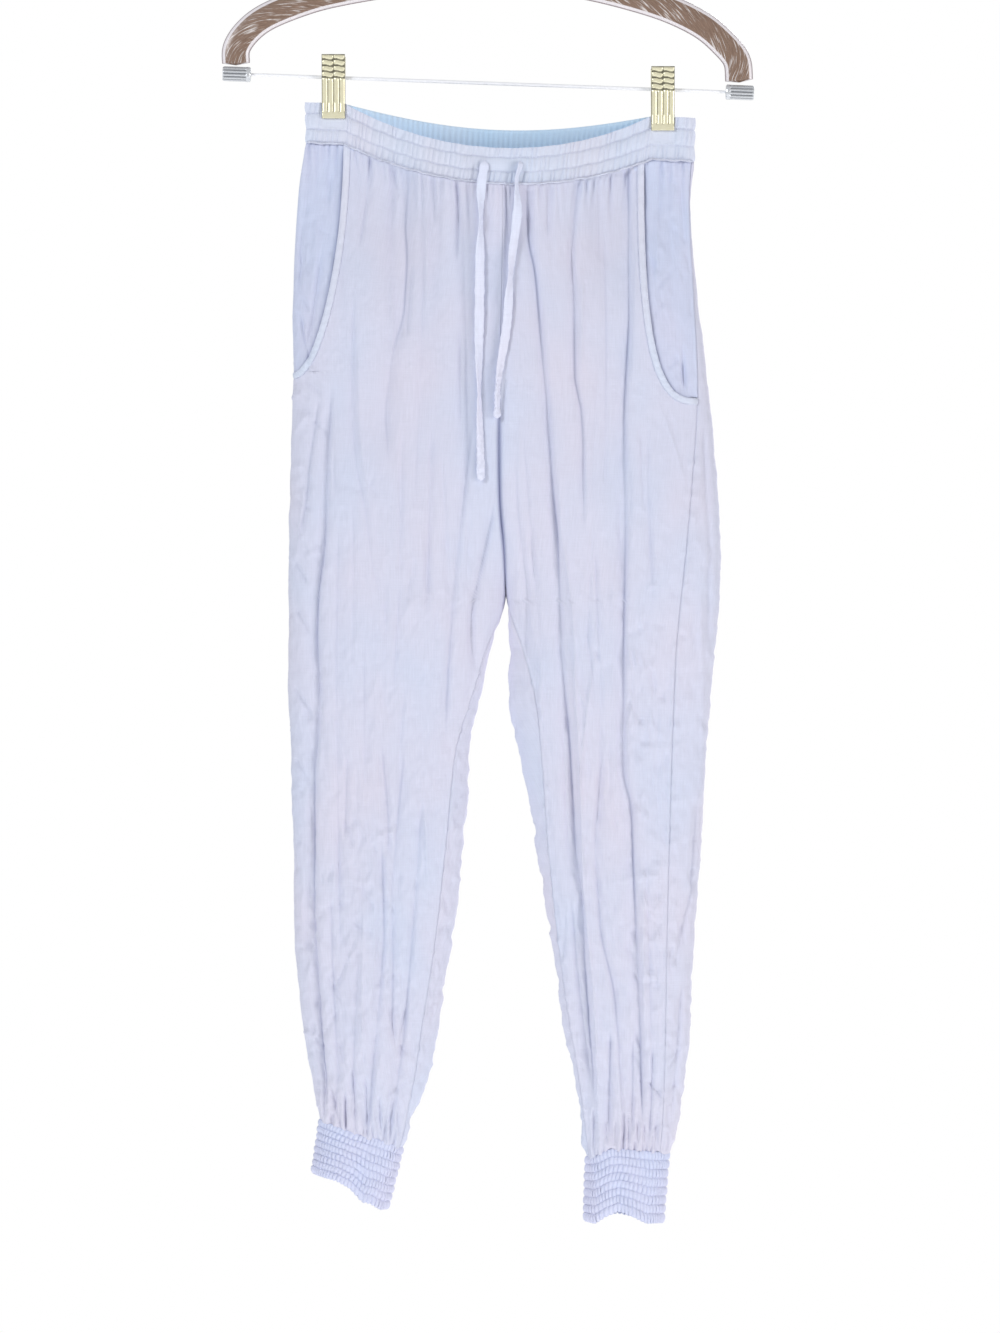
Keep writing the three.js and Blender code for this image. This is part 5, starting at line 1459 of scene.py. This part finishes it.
def smocked_cuff(leg):
    """A tapered oval ring; its radius swells over each row as a half sine and over each puff as
    a rounded cosine, and a soft dent runs down its front."""
    spec = CUFFS[leg["name"]]
    corner = {key: np.array(spec[key]) * MM for key in
              ("inner_top", "outer_top", "inner_bottom", "outer_bottom")}
    v = np.linspace(0, 1, spec["rows"] * CUFF_STEPS + 1)[:, None]
    angle = (np.arange(CUFF_COLUMNS) / CUFF_COLUMNS * 2 * np.pi)[None]
    row = np.minimum((v * spec["rows"]).astype(int), spec["rows"] - 1)
    place = v * spec["rows"] - row
    random = np.random.default_rng(41 + leg["sign"])
    offset = random.uniform(0, 1, spec["rows"] + 1)[row]
    wander = 0.9 * np.sin(3 * angle + 1.3 * row) + 0.5 * np.sin(7 * angle + 2 * row)
    turns = angle / (2 * np.pi) * CUFF_PUFFS + offset + 0.35 * place * np.sin(angle + row)
    puff = 1 - 2 * np.abs(np.sin(np.pi * turns + wander)) ** 1.3
    uneven = 0.7 + 0.3 * np.sin(5 * angle + row * 2.1)
    swell = np.sin(np.pi * place) ** 0.55
    raised = (-0.6 + swell * (1.45 - 0.8 * puff * uneven) - 0.3 * puff) * MM
    inner = mix(corner["inner_top"], corner["inner_bottom"], v[..., None])
    outer = mix(corner["outer_top"], corner["outer_bottom"], v[..., None])
    half = (outer - inner) / 2
    width = np.linalg.norm(half, axis=-1)
    grow = 1 + raised / width
    middle = (outer + inner) / 2
    x = middle[..., 0] + half[..., 0] * grow * np.cos(angle)
    z = middle[..., 1] + half[..., 1] * grow * np.cos(angle)
    across = (1 + np.cos(angle)) / 2
    front = np.sin(angle) > 0
    dent_at, dent_depth = spec["dent"]
    dent = np.exp(-((across - dent_at) / DENT_HALF) ** 2) * (0.3 + 0.7 * v) * front
    dent = dent * dent_depth * MM
    depth = mix(CUFF_TOP_DEPTH, CUFF_BOTTOM_DEPTH, v) + raised - dent
    y = -depth * np.sin(angle)
    bend = mix(np.interp(across, *leg["cuff_bend_top"]), np.interp(across, *spec["bend_bottom"]), v)
    ends = np.abs(np.sin(angle)) ** 0.7
    z = z + bend * MM * np.where(front, 1, 0.6) * ends
    z = z + HEM_RUFFLE * puff * ease(0.93, 1, v)
    points = np.stack([x, y, z], axis=-1)
    cloth_uv = np.stack(np.broadcast_arrays(angle * 40 * MM, -v * 0.06), axis=-1)
    # Painted shade along the elastic rows and in the valleys between the puffs.
    dark = CUFF_ROW_DARK * (1 - swell) + CUFF_PUFF_DARK * np.clip(puff, 0, 1) * swell
    piece = grid_piece("smocking_" + leg["name"], points, cloth_uv, cuff_cloth,
                       flip=leg["sign"] > 0, ring=True, crease=np.broadcast_to(dark, x.shape))
    thin_shell(piece, CUFF_SHELL)
    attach(piece, "root")
    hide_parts("cuff_" + leg["name"])


for leg in (RIGHT_LEG, LEFT_LEG):
    smocked_cuff(leg)

# The hanger
# A steel hook over a collar, a bowed arm of brown resin with clear edges, and between its turned
# down tips a polished bar in two fluted sockets. Two sprung clips of pale gold ride on the bar
# and hold the waistband.
ARM_ROUTE = [(-224.4, -176.6), (-224, -162), (-215, -148), (-199, -135.5), (-172, -124),
             (-143, -115.5), (-96, -107), (-50, -101.5), (-6, -99.5), (40, -102.5), (80, -109),
             (120, -119), (150, -129), (176, -142), (193, -156), (206, -172), (208.4, -191.4)]
ARM_RINGS = 260
ARM_AROUND = 40
ARM_HALF_HEIGHT = 12 * MM
ARM_HALF_THICKNESS = 4.5 * MM
ARM_TIP = 1.6 * MM
RIB_PITCH = 5.2 * MM
RIB_HEIGHT = 0.22 * MM
RESIN_DARK = (0.10, 0.055, 0.035, 1)
RESIN_BROWN = (0.34, 0.23, 0.17, 1)
RESIN_STREAK = (0.74, 0.70, 0.68, 1)
RESIN_EDGE = (0.80, 0.76, 0.78, 1)
RESIN_OUTLINE = (0.26, 0.20, 0.21, 1)
RESIN_ROUGHNESS = 0.28
STREAK_SLANT = 0.42
STREAK_SCALE = (760, 42, 1)
FINE_STREAK_SCALE = (1500, 90, 1)
# Each finish: two colours that its uneven tone wanders between, and painted shade for its grooves.
GROOVE_SHADE_COLOUR = (0.16, 0.17, 0.19, 1)
STEEL_COLOURS = [(0.56, 0.58, 0.61, 1), (0.66, 0.68, 0.70, 1), GROOVE_SHADE_COLOUR]
BRIGHT_STEEL_COLOURS = [(0.86, 0.87, 0.90, 1), (0.94, 0.95, 0.97, 1), GROOVE_SHADE_COLOUR]
GOLD_COLOURS = [(0.70, 0.66, 0.44, 1), (0.80, 0.77, 0.58, 1), (0.14, 0.13, 0.09, 1)]
HOOK_CENTRE_RADIUS = 22.2
HOOK_CENTRE_Z = -20
HOOK_WIRE_RADIUS = 2.2 * MM
HOOK_RINGS = 150
BAR_RIGHT_END = np.array([-211.5, 0, -184.6]) * MM
BAR_LEFT_END = np.array([196.5, 0, -199.5]) * MM
BAR_RADIUS = 1.5
# Turned pieces: share of the length, radius in millimetres, or as a share of the bar's, and
# whether flutes are cut there.
ROUNDED_ENDS = [(0, 0.01, 0), (0, 0.8, 0), (0.03, 1, 0), (0.97, 1, 0), (1, 0.8, 0), (1, 0.01, 0)]
SOCKET_PROFILE = [(0, 0.05, 0), (0, 5.6, 0), (0.04, 6.5, 0), (0.14, 6.5, 0), (0.17, 6.4, 1),
                  (0.94, 6.4, 1), (1, 5.8, 0), (1, 0.05, 0)]
COLLAR_PROFILE = [(0, 0.05, 0), (0, 4.9, 0), (0.15, 5.5, 0), (0.45, 5.5, 0), (0.5, 5.1, 0),
                  (0.55, 5.5, 0), (0.85, 5.5, 0), (1, 4.9, 0), (1, 0.05, 0)]
COLLAR_BOTTOM = np.array([-5, 0, -87]) * MM
COLLAR_TOP = np.array([-5, 0, -81]) * MM
CORNER_SHARE = 0.002
SOCKET_FROM = 0.3 * MM
SOCKET_TO = 24.3 * MM
SOCKET_FLUTES = 12
FLUTE_DEPTH = 1.3
# The inner face of a clip plate: height above the bar and place before its middle, in millimetres.
CLIP_LINE = [(-35.5, -3.8), (-22, -3.4), (-10, -5.4), (0, -7), (10, -8.6), (19, -10.4)]
CLIP_ABOVE_BAR = 19
CLIP_LENGTH = 54.5
CLIP_WALL = 1.3
SCALE_LENGTH = 5.0
GRIP_END = 20.6
SCALE_HEIGHT = 1.0
CLIP_FLUTE_HEIGHT = 0.9
LIP_HEIGHT = 1.2
COIL_TURNS = 8
COIL_LENGTH = 12.2 * MM
COIL_RADIUS = 5.55 * MM
COIL_WIRE = 0.72 * MM


def surface_material(name, colours, metal, roughness, scale):
    """A coloured, slightly uneven finish on the object's own coordinates, with painted shade in
    grooves.
    """
    material = bpy.data.materials.new(name)
    material.use_nodes = True
    tree = material.node_tree
    shader = tree.nodes["Principled BSDF"]
    shader.inputs["Metallic"].default_value = metal
    shader.inputs["Roughness"].default_value = roughness
    place = tree.nodes.new("ShaderNodeTexCoord")
    noise = tree.nodes.new("ShaderNodeTexNoise")
    noise.inputs["Scale"].default_value = scale
    noise.inputs["Detail"].default_value = 3
    blend = tree.nodes.new("ShaderNodeMix")
    blend.data_type = "RGBA"
    blend.inputs["A"].default_value = colours[0]
    blend.inputs["B"].default_value = colours[1]
    crease = tree.nodes.new("ShaderNodeAttribute")
    crease.attribute_name = "crease"
    groove = tree.nodes.new("ShaderNodeMix")
    groove.data_type = "RGBA"
    groove.inputs["B"].default_value = colours[2]
    wire(tree, (place.outputs["Object"], noise.inputs["Vector"]),
         (noise.outputs["Fac"], blend.inputs["Factor"]),
         (blend.outputs["Result"], groove.inputs["A"]),
         (crease.outputs["Fac"], groove.inputs["Factor"]),
         (groove.outputs["Result"], shader.inputs["Base Color"]))
    return material


steel = surface_material("polished_steel", STEEL_COLOURS, metal=0.7, roughness=0.24, scale=300)
gold = surface_material("pale_gold", GOLD_COLOURS, metal=0.45, roughness=0.27, scale=260)
bright_steel = surface_material("bright_steel", BRIGHT_STEEL_COLOURS, metal=0.05, roughness=0.3,
                                scale=300)


def arm_material():
    """Brown resin with slanting whitish streaks between two clear edges. The piece's own map runs
    across the arm from -1 to 1 and along it in metres."""
    material = bpy.data.materials.new("streaked_resin")
    material.use_nodes = True
    tree = material.node_tree
    shader = tree.nodes["Principled BSDF"]
    shader.inputs["Roughness"].default_value = RESIN_ROUGHNESS
    arm_map = tree.nodes.new("ShaderNodeUVMap")
    arm_map.uv_map = "cloth"
    parts = tree.nodes.new("ShaderNodeSeparateXYZ")
    wire(tree, (arm_map.outputs[0], parts.inputs[0]))
    across, length = parts.outputs["X"], parts.outputs["Y"]
    in_plane = math_node(tree, "MULTIPLY", across, ARM_HALF_HEIGHT)
    slanted = math_node(tree, "MULTIPLY_ADD", length, STREAK_SLANT)
    wire(tree, (in_plane, slanted.node.inputs[2]))
    lengthwise = math_node(tree, "SUBTRACT", length, in_plane)
    joined = tree.nodes.new("ShaderNodeCombineXYZ")
    wire(tree, (slanted, joined.inputs["X"]), (lengthwise, joined.inputs["Y"]))
    streak = stretched_noise(tree, joined.outputs[0], STREAK_SCALE, 3)
    fine = stretched_noise(tree, joined.outputs[0], FINE_STREAK_SCALE, 2)
    pale = tree.nodes.new("ShaderNodeMapRange")
    pale.inputs["From Min"].default_value = 0.55
    pale.inputs["From Max"].default_value = 0.68
    wire(tree, (streak, pale.inputs["Value"]))
    brown = tree.nodes.new("ShaderNodeMix")
    brown.data_type = "RGBA"
    brown.inputs["A"].default_value = RESIN_DARK
    brown.inputs["B"].default_value = RESIN_BROWN
    streaked = tree.nodes.new("ShaderNodeMix")
    streaked.data_type = "RGBA"
    streaked.inputs["B"].default_value = RESIN_STREAK
    from_middle = math_node(tree, "ABSOLUTE", across, 0)
    edge = tree.nodes.new("ShaderNodeValToRGB")
    ramp = edge.color_ramp
    ramp.elements[0].position, ramp.elements[0].color = 0.72, (0, 0, 0, 1)
    ramp.elements[1].position, ramp.elements[1].color = 0.76, (1, 1, 1, 1)
    edged = tree.nodes.new("ShaderNodeMix")
    edged.data_type = "RGBA"
    edged.inputs["B"].default_value = RESIN_EDGE
    outline = tree.nodes.new("ShaderNodeValToRGB")
    thin_ramp = outline.color_ramp
    thin_ramp.elements[0].position, thin_ramp.elements[0].color = 0.90, (0, 0, 0, 1)
    thin_ramp.elements[1].position, thin_ramp.elements[1].color = 0.97, (1, 1, 1, 1)
    outlined = tree.nodes.new("ShaderNodeMix")
    outlined.data_type = "RGBA"
    outlined.inputs["B"].default_value = RESIN_OUTLINE
    wire(tree, (fine, brown.inputs["Factor"]),
         (brown.outputs["Result"], streaked.inputs["A"]),
         (pale.outputs["Result"], streaked.inputs["Factor"]),
         (streaked.outputs["Result"], edged.inputs["A"]),
         (from_middle, edge.inputs["Fac"]), (edge.outputs["Color"], edged.inputs["Factor"]),
         (edged.outputs["Result"], outlined.inputs["A"]),
         (from_middle, outline.inputs["Fac"]),
         (outline.outputs["Color"], outlined.inputs["Factor"]),
         (outlined.outputs["Result"], shader.inputs["Base Color"]))
    return material


resin = arm_material()


def hanger_piece(piece, node):
    """Fixes a finished piece of the hanger in place of its solid."""
    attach(piece, "root")
    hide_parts(node)


def hanger_arm():
    """The arm's oval section is deeper in its plane than it is thick; slanting ribs run round it
    between the smooth edges, and both tips are rounded."""
    route = np.array([(x, 0, z) for x, z in ARM_ROUTE]) * MM
    count, around = ARM_RINGS, ARM_AROUND
    path = smooth_route(route, count)
    way = np.gradient(path, axis=0)
    way /= np.linalg.norm(way, axis=1, keepdims=True)
    across = np.stack([-way[:, 2], way[:, 1] * 0, way[:, 0]], axis=1)
    angle = np.arange(around) / around * 2 * np.pi
    steps = np.linalg.norm(np.diff(path, axis=0), axis=1)
    length = np.concatenate([[0], np.cumsum(steps)])
    to_end = np.minimum(length, length[-1] - length)
    close = np.sqrt(np.clip(1 - (1 - np.clip(to_end / ARM_TIP, 0, 1)) ** 2, 0.0004, 1))[:, None]
    rib = np.sin(2 * np.pi * (length[:, None] / RIB_PITCH + 1.7 * np.cos(angle)[None]))
    rib = rib * ease(0.78, 0.6, abs(np.cos(angle)))[None]
    plane = ARM_HALF_HEIGHT * np.cos(angle)[None] * close
    ribbed = RIB_HEIGHT * rib * np.sign(np.sin(angle))
    thick = (ARM_HALF_THICKNESS * np.sin(angle)[None] + ribbed) * close
    points = path[:, None] + across[:, None] * plane[..., None]
    points[..., 1] -= thick
    arm_uv = np.stack(np.broadcast_arrays(np.cos(angle)[None], length[:, None]), axis=-1)
    piece = grid_piece("hanger_arm", points, arm_uv, resin, ring=True)
    hanger_piece(piece, "hanger_arms")


def hanger_hook():
    """A wire that rises out of the collar and bends into 250 degrees of a circle, with its free
    tip rounded."""
    turns = np.radians(np.arange(-50, 201, 10))
    arc = [(HOOK_CENTRE_RADIUS * math.cos(a), 0, HOOK_CENTRE_Z + HOOK_CENTRE_RADIUS * math.sin(a))
           for a in turns]
    route = np.array([(-5, 0, -80.7), (-4.6, 0, -70), (-3.4, 0, -59), (4, 0, -49)] + arc) * MM
    path = smooth_route(route, HOOK_RINGS)
    radius = np.full(HOOK_RINGS, HOOK_WIRE_RADIUS)
    radius[-4:] *= (0.97, 0.88, 0.66, 0.3)
    hanger_piece(tube_piece("hook_wire", path, radius, 16, steel), "hanger_hook")


def smooth_ring_places(profile):
    """Rings of a turned piece, with each corner of its profile doubled so that it stays crisp."""
    places = []
    for share, radius, fluted in profile:
        places += [(share - CORNER_SHARE, radius, fluted), (share + CORNER_SHARE, radius, fluted)]
    return places


def turned_piece(name, start, end, profile, flutes, flute_depth, metal=steel):
    """A round piece on the line from start to end: profile gives the share of its length and its
    radius in millimetres, and flutes run along it."""
    around = 96 if flutes else 32
    places = smooth_ring_places(profile)
    way = (end - start) / np.linalg.norm(end - start)
    side = np.cross(way, (0, 1, 0))
    angle = np.arange(around) / around * 2 * np.pi
    rows = []
    dark = []
    for share, radius, fluted in places:
        dip = np.abs(np.sin(flutes * angle / 2)) ** 0.8 if flutes else np.ones(around)
        size = (radius - flute_depth * (1 - dip) * fluted) * MM
        rows.append(start + (end - start) * share + side * (size * np.cos(angle))[:, None]
                    + np.array([0, 1, 0]) * (size * np.sin(angle))[:, None])
        # Painted shade down the flutes.
        dark.append((1 - dip) * fluted)
    points = np.stack(rows)
    turn_uv = np.stack(np.broadcast_arrays(
        angle[None], np.array([place[0] for place in places])[:, None]), axis=-1)
    return grid_piece(name, points, turn_uv, metal, ring=True, crease=np.stack(dark))


def bar_point(x):
    """The point of the bar's middle line at x."""
    share = (x - BAR_RIGHT_END[0]) / (BAR_LEFT_END[0] - BAR_RIGHT_END[0])
    return BAR_RIGHT_END + (BAR_LEFT_END - BAR_RIGHT_END) * share


def hanger_bar():
    """The bar's rod, a fluted socket over each of its ends, and the collar under the hook."""
    profile = [(share, BAR_RADIUS * size, fluted) for share, size, fluted in ROUNDED_ENDS]
    rod = turned_piece("bar_rod", BAR_RIGHT_END, BAR_LEFT_END, profile, 0, 0, bright_steel)
    hanger_piece(rod, "hanger_bar")
    for name, x, out in (("right", BAR_RIGHT_END[0], -1), ("left", BAR_LEFT_END[0], 1)):
        near, far = bar_point(x + out * SOCKET_FROM), bar_point(x + out * SOCKET_TO)
        piece = turned_piece("socket_" + name, near, far, SOCKET_PROFILE, SOCKET_FLUTES,
                             FLUTE_DEPTH)
        hanger_piece(piece, "bar_socket_" + name)
    collar = turned_piece("hook_collar", COLLAR_BOTTOM, COLLAR_TOP, COLLAR_PROFILE, 0, 0)
    hanger_piece(collar, "hanger_collar")


def clip_relief(u, down):
    """Height in millimetres of a clip plate's pattern, and its painted shade: two columns of four
    scales on the grip, four flutes below them, and a plain lip. The shade lies in the grooves,
    along the side edges and at the top."""
    column = 2 * (2 * u % 1) - 1
    row = down / SCALE_LENGTH
    level = row % 1
    wave = level - 0.42 - 0.10 * np.sin(np.pi * column)
    scale = np.sqrt(np.clip(1 - abs(column) ** 5 - (wave / 0.40) ** 2, 0, 1))
    scale_dark = np.clip(1 - 1.8 * scale, 0, 1)
    flute = np.abs(np.sin(4 * np.pi * u)) ** 0.7
    arch = 1 - ease(0, 3.0, down - GRIP_END + 2.0 * np.abs(np.sin(4 * np.pi * u)))
    flute_dark = np.clip(1.3 - 1.9 * flute, 0, 1)
    on_grip = ease(20.8, 20, down)
    on_lip = ease(48.5, 49.5, down)
    plain = np.sqrt(np.clip(1 - ((down - 52) / 3.4) ** 2, 0, 1))
    height = mix(CLIP_FLUTE_HEIGHT * flute * (1 - 0.7 * arch), SCALE_HEIGHT * scale, on_grip)
    dark = mix(np.maximum(flute_dark, 0.5 * arch), scale_dark, on_grip)
    edge = np.minimum(u, 1 - u) * CLIP_WIDTH / MM
    height = mix(height, LIP_HEIGHT * plain, on_lip) * ease(0, 0.5, edge)
    # Painted shade also along the plate's side edges, and at its top line.
    dark = np.maximum(mix(dark, 0, on_lip), 0.7 * ease(0.7, 0.2, edge))
    top_line = ease(1.3, 0.7, down)
    return mix(height, 0.5, top_line), np.maximum(dark, 0.75 * top_line)


def clip(name, x):
    """Two plates that hang over the bar and close on the waistband, and the coil between them,
    a helix round the bar."""
    u, down = np.meshgrid(np.linspace(0, 1, 61), np.linspace(0, CLIP_LENGTH, 106))
    height, dark = clip_relief(u, down)
    middle = bar_point(x)
    line_z, line_y = np.array(CLIP_LINE).T
    for side, out in (("front", 1), ("back", -1)):
        inner_y = np.interp(CLIP_ABOVE_BAR - down, line_z, line_y)
        wide = middle[0] + (u - 0.5) * CLIP_WIDTH
        up = middle[2] + (CLIP_ABOVE_BAR - down) * MM
        outer = np.stack([wide, out * (inner_y - CLIP_WALL - height) * MM, up], axis=-1)
        inner = np.stack([wide, out * inner_y * MM, up], axis=-1)
        piece = shell_piece("clip_plate_%s_%s" % (name, side), outer, inner,
                            np.stack([u, down], axis=-1), gold, flip=out < 0, crease=dark)
        hanger_piece(piece, "clip_%s_%s" % (name, side))
    share = np.linspace(0, 1, 200)
    turn = share * COIL_TURNS * 2 * np.pi
    way = (BAR_LEFT_END - BAR_RIGHT_END) / np.linalg.norm(BAR_LEFT_END - BAR_RIGHT_END)
    coil = middle + way * ((share - 0.5) * COIL_LENGTH)[:, None]
    coil[:, 1] += COIL_RADIUS * np.cos(turn)
    coil += np.cross(way, (0, 1, 0)) * (COIL_RADIUS * np.sin(turn))[:, None]
    hanger_piece(tube_piece("clip_coil_" + name, coil, COIL_WIRE, 8, steel),
                 "clip_%s_spring" % name)


hanger_arm()
hanger_hook()
hanger_bar()
clip("right", CLIP_RIGHT_X)
clip("left", CLIP_LEFT_X)

# The stitches
# Polyester thread a shade lighter than the cloth holds the pocket strips and divides the
# waistband. Each stitch is a short spindle that bows off the cloth and dives in at both ends.
THREAD_DARK = (0.62, 0.64, 0.78, 1)
THREAD_LIGHT = (0.74, 0.76, 0.88, 1)
THREAD_ROUGHNESS = 0.6
THREAD_NOISE = 900
# Share of the stitch's length, thickness there, and how far it lifts, in thread radii.
STITCH_RINGS = ((0, 0.15, -0.5), (0.25, 0.9, 0.6), (0.75, 0.9, 0.6), (1, 0.15, -0.5))

thread = bpy.data.materials.new("thread")
thread.use_nodes = True
thread_shader = thread.node_tree.nodes["Principled BSDF"]
thread_shader.inputs["Roughness"].default_value = THREAD_ROUGHNESS
thread_noise = thread.node_tree.nodes.new("ShaderNodeTexNoise")
thread_noise.inputs["Scale"].default_value = THREAD_NOISE
thread_colour = thread.node_tree.nodes.new("ShaderNodeMix")
thread_colour.data_type = "RGBA"
thread_colour.inputs["A"].default_value = THREAD_DARK
thread_colour.inputs["B"].default_value = THREAD_LIGHT
thread_place = thread.node_tree.nodes.new("ShaderNodeTexCoord")
wire(thread.node_tree, (thread_place.outputs["Object"], thread_noise.inputs["Vector"]),
     (thread_noise.outputs["Fac"], thread_colour.inputs["Factor"]),
     (thread_colour.outputs["Result"], thread_shader.inputs["Base Color"]))


def sew_stitches():
    """One mesh of all the stitches, each a five-sided spindle bowed off the cloth."""
    start = np.concatenate([row[0] for row in all_stitches])
    end = np.concatenate([row[1] for row in all_stitches])
    out = np.concatenate([row[2] for row in all_stitches])
    way = end - start
    side = np.cross(way, out)
    side /= np.linalg.norm(side, axis=1, keepdims=True)
    up = np.cross(side, way)
    up /= np.linalg.norm(up, axis=1, keepdims=True)
    angle = np.arange(STITCH_SECTION) / STITCH_SECTION * 2 * np.pi
    rings = []
    for share, size, lift in STITCH_RINGS:
        centre = start + way * share + up * lift * STITCH_RADIUS
        offset = (side[:, None] * np.cos(angle)[None, :, None]
                  + up[:, None] * np.sin(angle)[None, :, None]) * STITCH_RADIUS * size
        rings.append(centre[:, None] + offset)
    points = np.stack(rings, axis=1)
    count = len(start)
    index = np.arange(points.size // 3).reshape(count, len(STITCH_RINGS), STITCH_SECTION)
    turned = np.roll(index, -1, axis=2)
    faces = np.stack([index[:, :-1], turned[:, :-1], turned[:, 1:], index[:, 1:]], axis=-1)
    mesh = bpy.data.meshes.new("stitches")
    mesh.from_pydata(points.reshape(-1, 3).tolist(), [], faces.reshape(-1, 4).tolist())
    mesh.materials.append(thread)
    piece = bpy.data.objects.new("stitches", mesh)
    bpy.context.scene.collection.objects.link(piece)
    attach(piece, "root")


sew_stitches()

# The studio
# A pale floor far below the garment in an evenly white room, lit softly from both sides in front
# and from behind.
FLOOR_LEVEL = -1.75
FLOOR_HALF = 2.4
FLOOR_GLOW = 0.5
ROOM_LIGHT = 0.35
ROOM_IN_GLOSS = 0.8
COOL_LIGHT = (0.92, 0.95, 1.0)
WARM_LIGHT = (1.0, 0.96, 0.97)


def floor_material():
    """Matt near-white that glows a little, so that the floor is as white as the room."""
    material = bpy.data.materials.new("pale_floor")
    material.use_nodes = True
    shader = material.node_tree.nodes["Principled BSDF"]
    shader.inputs["Base Color"].default_value = (0.95, 0.95, 0.95, 1)
    shader.inputs["Roughness"].default_value = 0.9
    shader.inputs["Emission Color"].default_value = (1, 1, 1, 1)
    shader.inputs["Emission Strength"].default_value = FLOOR_GLOW
    return material


floor_x, floor_y = np.meshgrid((-FLOOR_HALF, FLOOR_HALF), (-FLOOR_HALF, FLOOR_HALF))
floor_points = np.stack([floor_x, floor_y, np.full((2, 2), FLOOR_LEVEL)], axis=-1)
floor = grid_piece("floor", floor_points, np.zeros((2, 2, 2)), floor_material(), flip=True)


def soft_light(name, place, aim, size, power, colour):
    """A square softbox that looks at a point."""
    data = bpy.data.lights.new(name, "AREA")
    data.energy = power
    data.size = size
    data.color = colour
    lamp = bpy.data.objects.new(name, data)
    away = np.array(aim) - np.array(place)
    flat = math.hypot(away[0], away[1])
    lamp.location = place
    lamp.rotation_euler = (math.atan2(flat, -away[2]), 0, math.atan2(-away[0], away[1]))
    bpy.context.scene.collection.objects.link(lamp)


soft_light("key", (-2.2, -2.5, 0.9), (0, 0, -0.65), size=0.9, power=57, colour=COOL_LIGHT)
soft_light("fill", (2.5, -1.8, -0.4), (0, 0, -0.7), size=1.2, power=34.5, colour=WARM_LIGHT)
soft_light("behind", (1.6, 2.6, 1.5), (0, 0, -0.6), size=1.2, power=62, colour=COOL_LIGHT)
world = bpy.data.worlds.new("room")
world.use_nodes = True
room = world.node_tree
rays = room.nodes.new("ShaderNodeLightPath")
seen = math_node(room, "MAXIMUM", rays.outputs["Is Camera Ray"],
                 math_node(room, "MULTIPLY", rays.outputs["Is Glossy Ray"], ROOM_IN_GLOSS))
brightness = math_node(room, "MAXIMUM", seen, ROOM_LIGHT)
wire(room, (brightness, room.nodes["Background"].inputs["Strength"]))
room.nodes["Background"].inputs["Color"].default_value = (1, 1, 1, 1)
bpy.context.scene.world = world
bpy.context.scene.view_settings.view_transform = "Standard"
